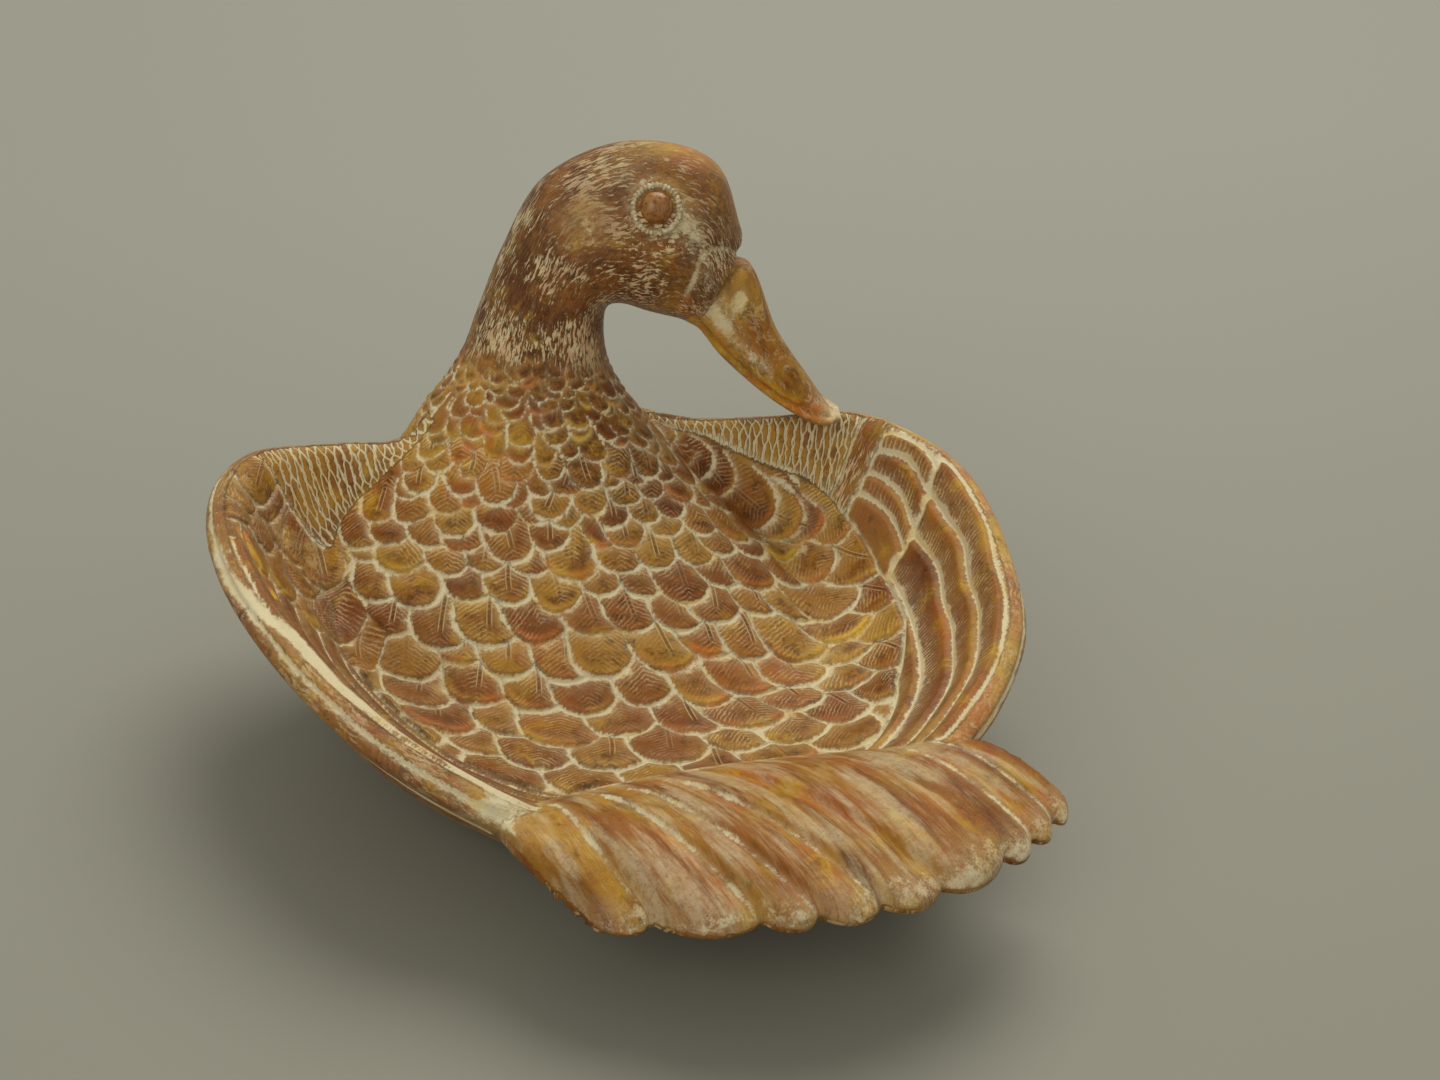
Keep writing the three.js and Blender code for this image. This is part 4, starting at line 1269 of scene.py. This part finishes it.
def painted_resin(name):
    """Brown and ochre paint with a pale wash left in the carving."""
    n = Nodes(name, 0.45)
    n.shade("Specular IOR Level", 0.15)
    mm = n.place()
    flow_x, flow_y, flow_z = n.split(n.attribute("flow", "Vector"))
    wash_share, warm_share, dark_share = n.split(n.attribute("paint", "Color"))
    tone_share = n.attribute("paint", "Alpha")
    barb_share, net_share, stroke_share = n.split(n.attribute("carving", "Color"))
    shaft_share = n.attribute("carving", "Alpha")

    broad = n.noise(mm, 0.035, 3)
    patchy = n.noise(mm, 0.11, 4, 0.6)
    fine = n.noise(mm, 0.55, 4, 0.65)
    grain = n.noise(mm, 1.9, 3, 0.7)

    # Barbs: fine lines that fan out from the feather's middle line
    aside = n.size_of(flow_y)
    phase = flow_x - aside * flow_z + (fine - 0.5) * 2.0
    wave = n.sine(phase * 4.8) + (grain - 0.5) * 2.2
    kept_barbs = n.step(n.noise(mm, 0.2, 3, 0.6), 0.42, 0.58, 0.10, 1.0)
    barb_line = n.step(wave, 0.10, 0.90) * barb_share * kept_barbs
    barb_dark = n.step(wave, -0.2, -0.9) * barb_share

    # A shaft: a pale double line beside a dark one
    shaft_pale = n.step(n.size_of(aside - 0.62), 0.30, 0.08) * shaft_share
    shaft_dark = n.step(aside, 0.42, 0.12) * shaft_share

    # A net of thin crossing lines
    shake = (n.noise(mm, 0.22, 2) - 0.5) * 3.4
    first = n.size_of(n.sine((flow_y + flow_x * 0.62 + shake) * 1.3))
    second = n.size_of(n.sine((flow_y + flow_x * 0.16 - shake) * 1.1))
    net_line = n.most(n.step(first, 0.66, 0.20), n.step(second, 0.58, 0.16)) * net_share

    # Brush strokes along the form
    bend = (n.noise(mm, 0.14, 2) - 0.5) * 3.6 * n.step(flow_z, 0.2, 1.0, 1.0, 0.25)
    stroke_noise = n.noise(n.join(flow_x * 0.24, flow_y + bend, 0.0), 1.5, 5, 0.68)
    pale_stroke = n.step(stroke_noise + n.noise(mm, 0.09, 3) * 0.60, 0.82, 0.88)
    pale_stroke = n.maths("MULTIPLY", pale_stroke, stroke_share, clamp=True)
    dark_stroke = n.step(stroke_noise, 0.50, 0.36) * stroke_share
    brushed = n.step(flow_z, 0.86, 0.98)
    smear = n.step(n.noise(n.join(flow_x * 0.42, flow_y, 0.0), 0.15, 4, 0.6), 0.45, 0.60) * brushed
    brush = n.noise(n.join(flow_x * 0.22, flow_y, 5.0), 0.16, 4, 0.6)

    # The pale wash: full in the grooves, broken beside them
    ragged = fine * 0.55 + grain * 0.45
    core = wash_share + (ragged - 0.5) * 1.4 + (n.noise(mm, 0.15, 3, 0.6) - 0.5) * 1.1
    core = n.step(core, 0.34, 0.84, 0.0, 0.95)
    broken = n.step(fine * 0.6 + grain * 0.4, 0.28, 0.56)
    skirt = n.most(n.most(wash_share, smear) * broken * 0.45, smear * 0.24)
    washing = n.most(n.most(core, skirt), net_line * 0.85)
    washing = n.maths("ADD", washing, n.step(grain, 0.62, 0.74, 0, 0.14), clamp=True)
    pale_colour = n.blend(n.step(n.noise(mm, 0.05, 3), 0.52, 0.70, 0, 0.28), WASH, PINK)
    pale_colour = n.blend(n.step(n.noise(mm, 0.10, 3), 0.52, 0.64, 0, 0.35), pale_colour, PALE_YELLOW)

    # Each coat of paint covers what lies below it as much as its share says
    darkening = n.most(n.most(dark_share * n.step(fine, 0.30, 0.62), dark_stroke * 0.75), barb_dark * 0.55)
    stroked = n.step(n.noise(mm, 0.11, 4, 0.65), 0.46, 0.58) * n.step(stroke_share, 0.3, 0.8, 0, 0.85)
    hue = n.blend(n.step(n.noise(mm, 0.07, 2), 0.42, 0.6), ORANGE, YELLOW)
    lines = n.most(n.most(barb_line * 0.75, pale_stroke * 0.90), shaft_pale * 0.6)
    line_colour = n.blend(n.step(n.noise(mm, 0.3, 3, 0.6), 0.44, 0.60, 0, 0.6), LINE, PINK)
    colour = BROWN
    for share, coat in (
        (n.step(broad, 0.46, 0.64, 0, 0.7), OCHRE),
        (n.step(tone_share, 0.45, 1.0) * 0.75, OCHRE),
        (n.step(tone_share, 0.50, 0.0) * 0.85, RED_BROWN),
        (n.step(patchy, 0.50, 0.68, 0, 0.75), RED_BROWN),
        (n.step(fine, 0.56, 0.76, 0, 0.35), OLIVE),
        (n.step(n.noise(mm, 0.12, 3), 0.56, 0.70, 0, 0.5), YELLOW),
        (n.step(n.noise(mm, 0.24, 4, 0.65), 0.52, 0.66, 0, 0.65), DEEP_BROWN),
        (n.step(brush, 0.54, 0.64, 0, 0.35) * brushed, OCHRE),
        (n.step(brush, 0.56, 0.44, 0, 0.8) * brushed, BROWN),
        (n.step(brush, 0.49, 0.37, 0, 0.9) * brushed, UMBER),
        (stroked, UMBER),
        (darkening * 0.8, DEEP_BROWN),
        (warm_share * n.step(patchy, 0.30, 0.60, 0.15, 0.95), hue),
        (lines, line_colour),
        (washing, pale_colour),
        (shaft_dark * 0.55, DEEP_BROWN),
    ):
        colour = n.blend(share, colour, coat)
    n.shade("Base Color", colour)
    n.shade("Roughness", n.step(washing, 0.1, 0.9, 0.30, 0.75))

    height = barb_line * -0.10 + n.most(shaft_pale, shaft_dark) * -0.22 + net_line * -0.45
    height = height + (dark_stroke - pale_stroke) * 0.18 + fine * 0.45 + grain * 0.20
    n.bump(height, 0.0008)
    return n.material


resin = painted_resin("painted_resin")
centre = body[quads].mean(1)
centre_height = (centre - NECK_FOOT) @ UPWARD
face_on = {name: flags[quads].mean(1) > 0.5 for name, flags in on.items()}
in_head = (face_on["neck"] & (centre_height > SEAM_HEIGHT)) | face_on["bill"]
in_head |= (centre_height > SEAM_HEIGHT) & (centre[:, 2] > 66)
in_tail = ~in_head & face_on["tail"]
in_dish = ~in_head & ~in_tail
face_inner = inner[quads].mean(1) > 0.5
in_front = centre[:, 1] > BASIN_CENTRE_Y
on_right = centre[:, 0] > 0
piece("head_and_neck_skin", in_head, "head_and_neck")
piece("tail_feathers", in_tail, "bowl")
piece("breast_and_wings_outside", in_dish & ~face_inner & in_front, "bowl")
piece("wing_ends_outside", in_dish & ~face_inner & ~in_front, "bowl")
piece("basin_right_half", in_dish & face_inner & on_right, "bowl")
piece("basin_left_half", in_dish & face_inner & ~on_right, "bowl")


def full_turn(steps):
    return 2 * np.pi * np.arange(steps) / steps


BEAD_SIDES = 56
BEAD_RINGS = 40
BEAD_FLATNESS = 0.97


def bead(name, side):
    """An eye: a smooth bead with a slightly flattened front."""
    angle = full_turn(BEAD_SIDES)[:, None]
    turn_up = np.radians(np.linspace(2, 178, BEAD_RINGS))[:, None, None]
    facing = side * SIDEWAYS
    up_way = unit(np.cross(facing, FORWARD))
    radial = np.cos(angle) * FORWARD + np.sin(angle) * up_way
    out = np.sin(turn_up) * radial + np.cos(turn_up) * BEAD_FLATNESS * facing
    rings = head_place(EYE_FORWARD, EYE_HEIGHT, side * EYE_ASIDE) + EYE_RADIUS * out
    verts, faces = skin(rings[::-1])
    return mesh_from(name, verts * METRE, faces)


LID_STEPS = 288
LID_TUBE_STEPS = 20
LID_NOTCHES = 36
LID_OUTSET = 0.2
LID_STRETCH = 1.15


def lid(name, side):
    """The raised ring round an eye, with small notches cut across it."""
    facing = UPWARD * math.sin(LID_TILT) + SIDEWAYS * side * math.cos(LID_TILT)
    up_way = np.cross(facing, FORWARD)
    angle = full_turn(LID_STEPS)[:, None, None]
    tube = full_turn(LID_TUBE_STEPS)[:, None]
    notch = 0.5 + 0.5 * np.cos(angle * LID_NOTCHES)
    thick = LID_THICKNESS * (0.60 + 0.28 * notch**0.6)
    radial = FORWARD * np.cos(angle) + up_way * np.sin(angle)
    rings = (
        head_place(EYE_FORWARD, EYE_HEIGHT, side * LID_ASIDE)
        + radial * (LID_RADIUS + LID_OUTSET + thick * LID_STRETCH * np.cos(tube))
        + facing * thick * np.sin(tube)
    )
    a = np.arange(LID_STEPS * LID_TUBE_STEPS).reshape(LID_STEPS, LID_TUBE_STEPS)
    b = np.roll(a, -1, 1)
    quads = np.stack([a, b, np.roll(b, -1, 0), np.roll(a, -1, 0)], -1).reshape(-1, 4)
    return mesh_from(name, rings.reshape(-1, 3) * METRE, quads)


def eye_material():
    n = Nodes("eye_glaze", 0.28)
    mm = n.place()
    marbling = n.step(n.noise(mm, 0.42, 4, 0.6), 0.36, 0.60)
    marbled = n.blend(marbling, (0.20, 0.065, 0.012), (0.33, 0.155, 0.045))
    speckle = n.step(n.noise(mm, 0.8, 3), 0.55, 0.68, 0, 0.7)
    n.shade("Base Color", n.blend(speckle, marbled, (0.07, 0.02, 0.008)))
    n.shade("Specular IOR Level", 0.4)
    n.shade("Coat Weight", 0.15)
    n.shade("Coat Roughness", 0.2)
    n.bump(n.noise(mm, 0.5, 2), 0.0003, 0.5)
    return n.material


def lid_material():
    n = Nodes("lid_paint", 0.5)
    mm = n.place()
    mottling = n.step(n.noise(mm, 0.9, 3), 0.38, 0.60)
    n.shade("Base Color", n.blend(mottling, (0.62, 0.56, 0.40), (0.36, 0.27, 0.14)))
    n.bump(n.noise(mm, 2.0, 2), 0.0003, 0.6)
    return n.material


eye_paint, lid_paint = eye_material(), lid_material()
for side, name in ((1, "right"), (-1, "left")):
    for mesh, replaced, slot, material in (
        (bead(name + "_eye_bead", side), name + "_eye", "eye", eye_paint),
        (lid(name + "_eyelid", side), None, "head_paint", lid_paint),
    ):
        mesh.materials.append(material)
        ob = add_object(mesh.name, mesh)
        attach(ob, "root")
        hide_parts(replaced or "head_and_neck")


# The pads and the dowel keep their solids, and get their materials
def felt():
    n = Nodes("felt", 0.95)
    fibres = n.noise(n.place(), 2.2, 5, 0.7)
    n.shade("Base Color", n.blend(n.step(fibres, 0.35, 0.7), (0.035, 0.030, 0.026), (0.085, 0.075, 0.066)))
    n.bump(fibres, 0.0006)
    return n.material


def birch():
    n = Nodes("dowel_wood", 0.7)
    x, y, z = n.split(n.place())
    rings = n.noise(n.join(x * 1.4, y * 1.4, z * 0.12), 0.8, 4)
    n.shade("Base Color", n.blend(n.step(rings, 0.35, 0.65), (0.60, 0.42, 0.22), (0.44, 0.27, 0.12)))
    n.bump(rings, 0.0003)
    return n.material


for node_name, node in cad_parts.items():
    if node_name.startswith("felt_pad") or node_name == "neck_dowel":
        material = birch() if node_name == "neck_dowel" else felt()
        if not node.material_slots:
            node.data.materials.append(material)
        for place in node.material_slots:
            place.material = material

# Camera, in metres
CAMERA_AZIMUTH = math.radians(24)
CAMERA_ELEVATION = math.radians(30)
CAMERA_ROLL = math.radians(6)
CAMERA_DISTANCE = 0.720
CAMERA_TARGET = Vector((0.0435, 0.064, 0.025))
back = Vector((
    -math.sin(CAMERA_AZIMUTH) * math.cos(CAMERA_ELEVATION),
    -math.cos(CAMERA_AZIMUTH) * math.cos(CAMERA_ELEVATION),
    math.sin(CAMERA_ELEVATION),
))
level_right = Vector((math.cos(CAMERA_AZIMUTH), -math.sin(CAMERA_AZIMUTH), 0))
level_up = back.cross(level_right)
right = level_right * math.cos(CAMERA_ROLL) + level_up * math.sin(CAMERA_ROLL)
up = level_up * math.cos(CAMERA_ROLL) - level_right * math.sin(CAMERA_ROLL)
camera_data = bpy.data.cameras.new("camera")
camera_data.sensor_width = 36
camera_data.lens = 65
camera = add_object("camera", camera_data)
place = CAMERA_TARGET + back * CAMERA_DISTANCE
camera.matrix_world = Matrix((
    (right.x, up.x, back.x, place.x),
    (right.y, up.y, back.y, place.y),
    (right.z, up.z, back.z, place.z),
    (0, 0, 0, 1),
))
bpy.context.scene.camera = camera

# Floor, lights and world, in metres
FLOOR_HALF = 6
corners = [[-1, -1, 0], [1, -1, 0], [1, 1, 0], [-1, 1, 0]]
floor_mesh = mesh_from("floor", np.array(corners) * FLOOR_HALF, np.array([[0, 1, 2, 3]]))
n = Nodes("floor_painted_shade", 0.6)
_, depth, _ = n.split(n.place())
# Painted shade: the floor's colour grows darker towards the front, where the light falls off, with a faint
# mottle over it
shade = n.step(depth, -350, 500) + n.noise(n.place(), 0.004, 2) * 0.1
n.shade("Base Color", n.blend(shade, (0.212, 0.212, 0.182), (0.268, 0.276, 0.252)))
floor_mesh.materials.append(n.material)
floor = add_object("floor", floor_mesh)


def softbox(name, place, aim, size, power):
    data = bpy.data.lights.new(name, "AREA")
    data.color = (1.0, 0.94, 0.80)
    data.shape = "DISK"
    data.size = size
    data.energy = power
    lamp = add_object(name, data)
    lamp.location = place
    lamp.rotation_euler = (Vector(aim) - Vector(place)).to_track_quat("-Z", "Y").to_euler()


softbox("key", (0.6, 0.9, 1.6), (0, 0, 0), 1.5, 23.5)
softbox("fill", (-1.3, -1.2, 1.1), (0, 0, 0), 1.6, 14)
world = bpy.data.worlds.new("studio")
world.use_nodes = True
world.node_tree.nodes["Background"].inputs["Color"].default_value = (0.95, 0.92, 0.80, 1)
world.node_tree.nodes["Background"].inputs["Strength"].default_value = 0.48
bpy.context.scene.world = world
bpy.context.scene.view_settings.view_transform = "Standard"
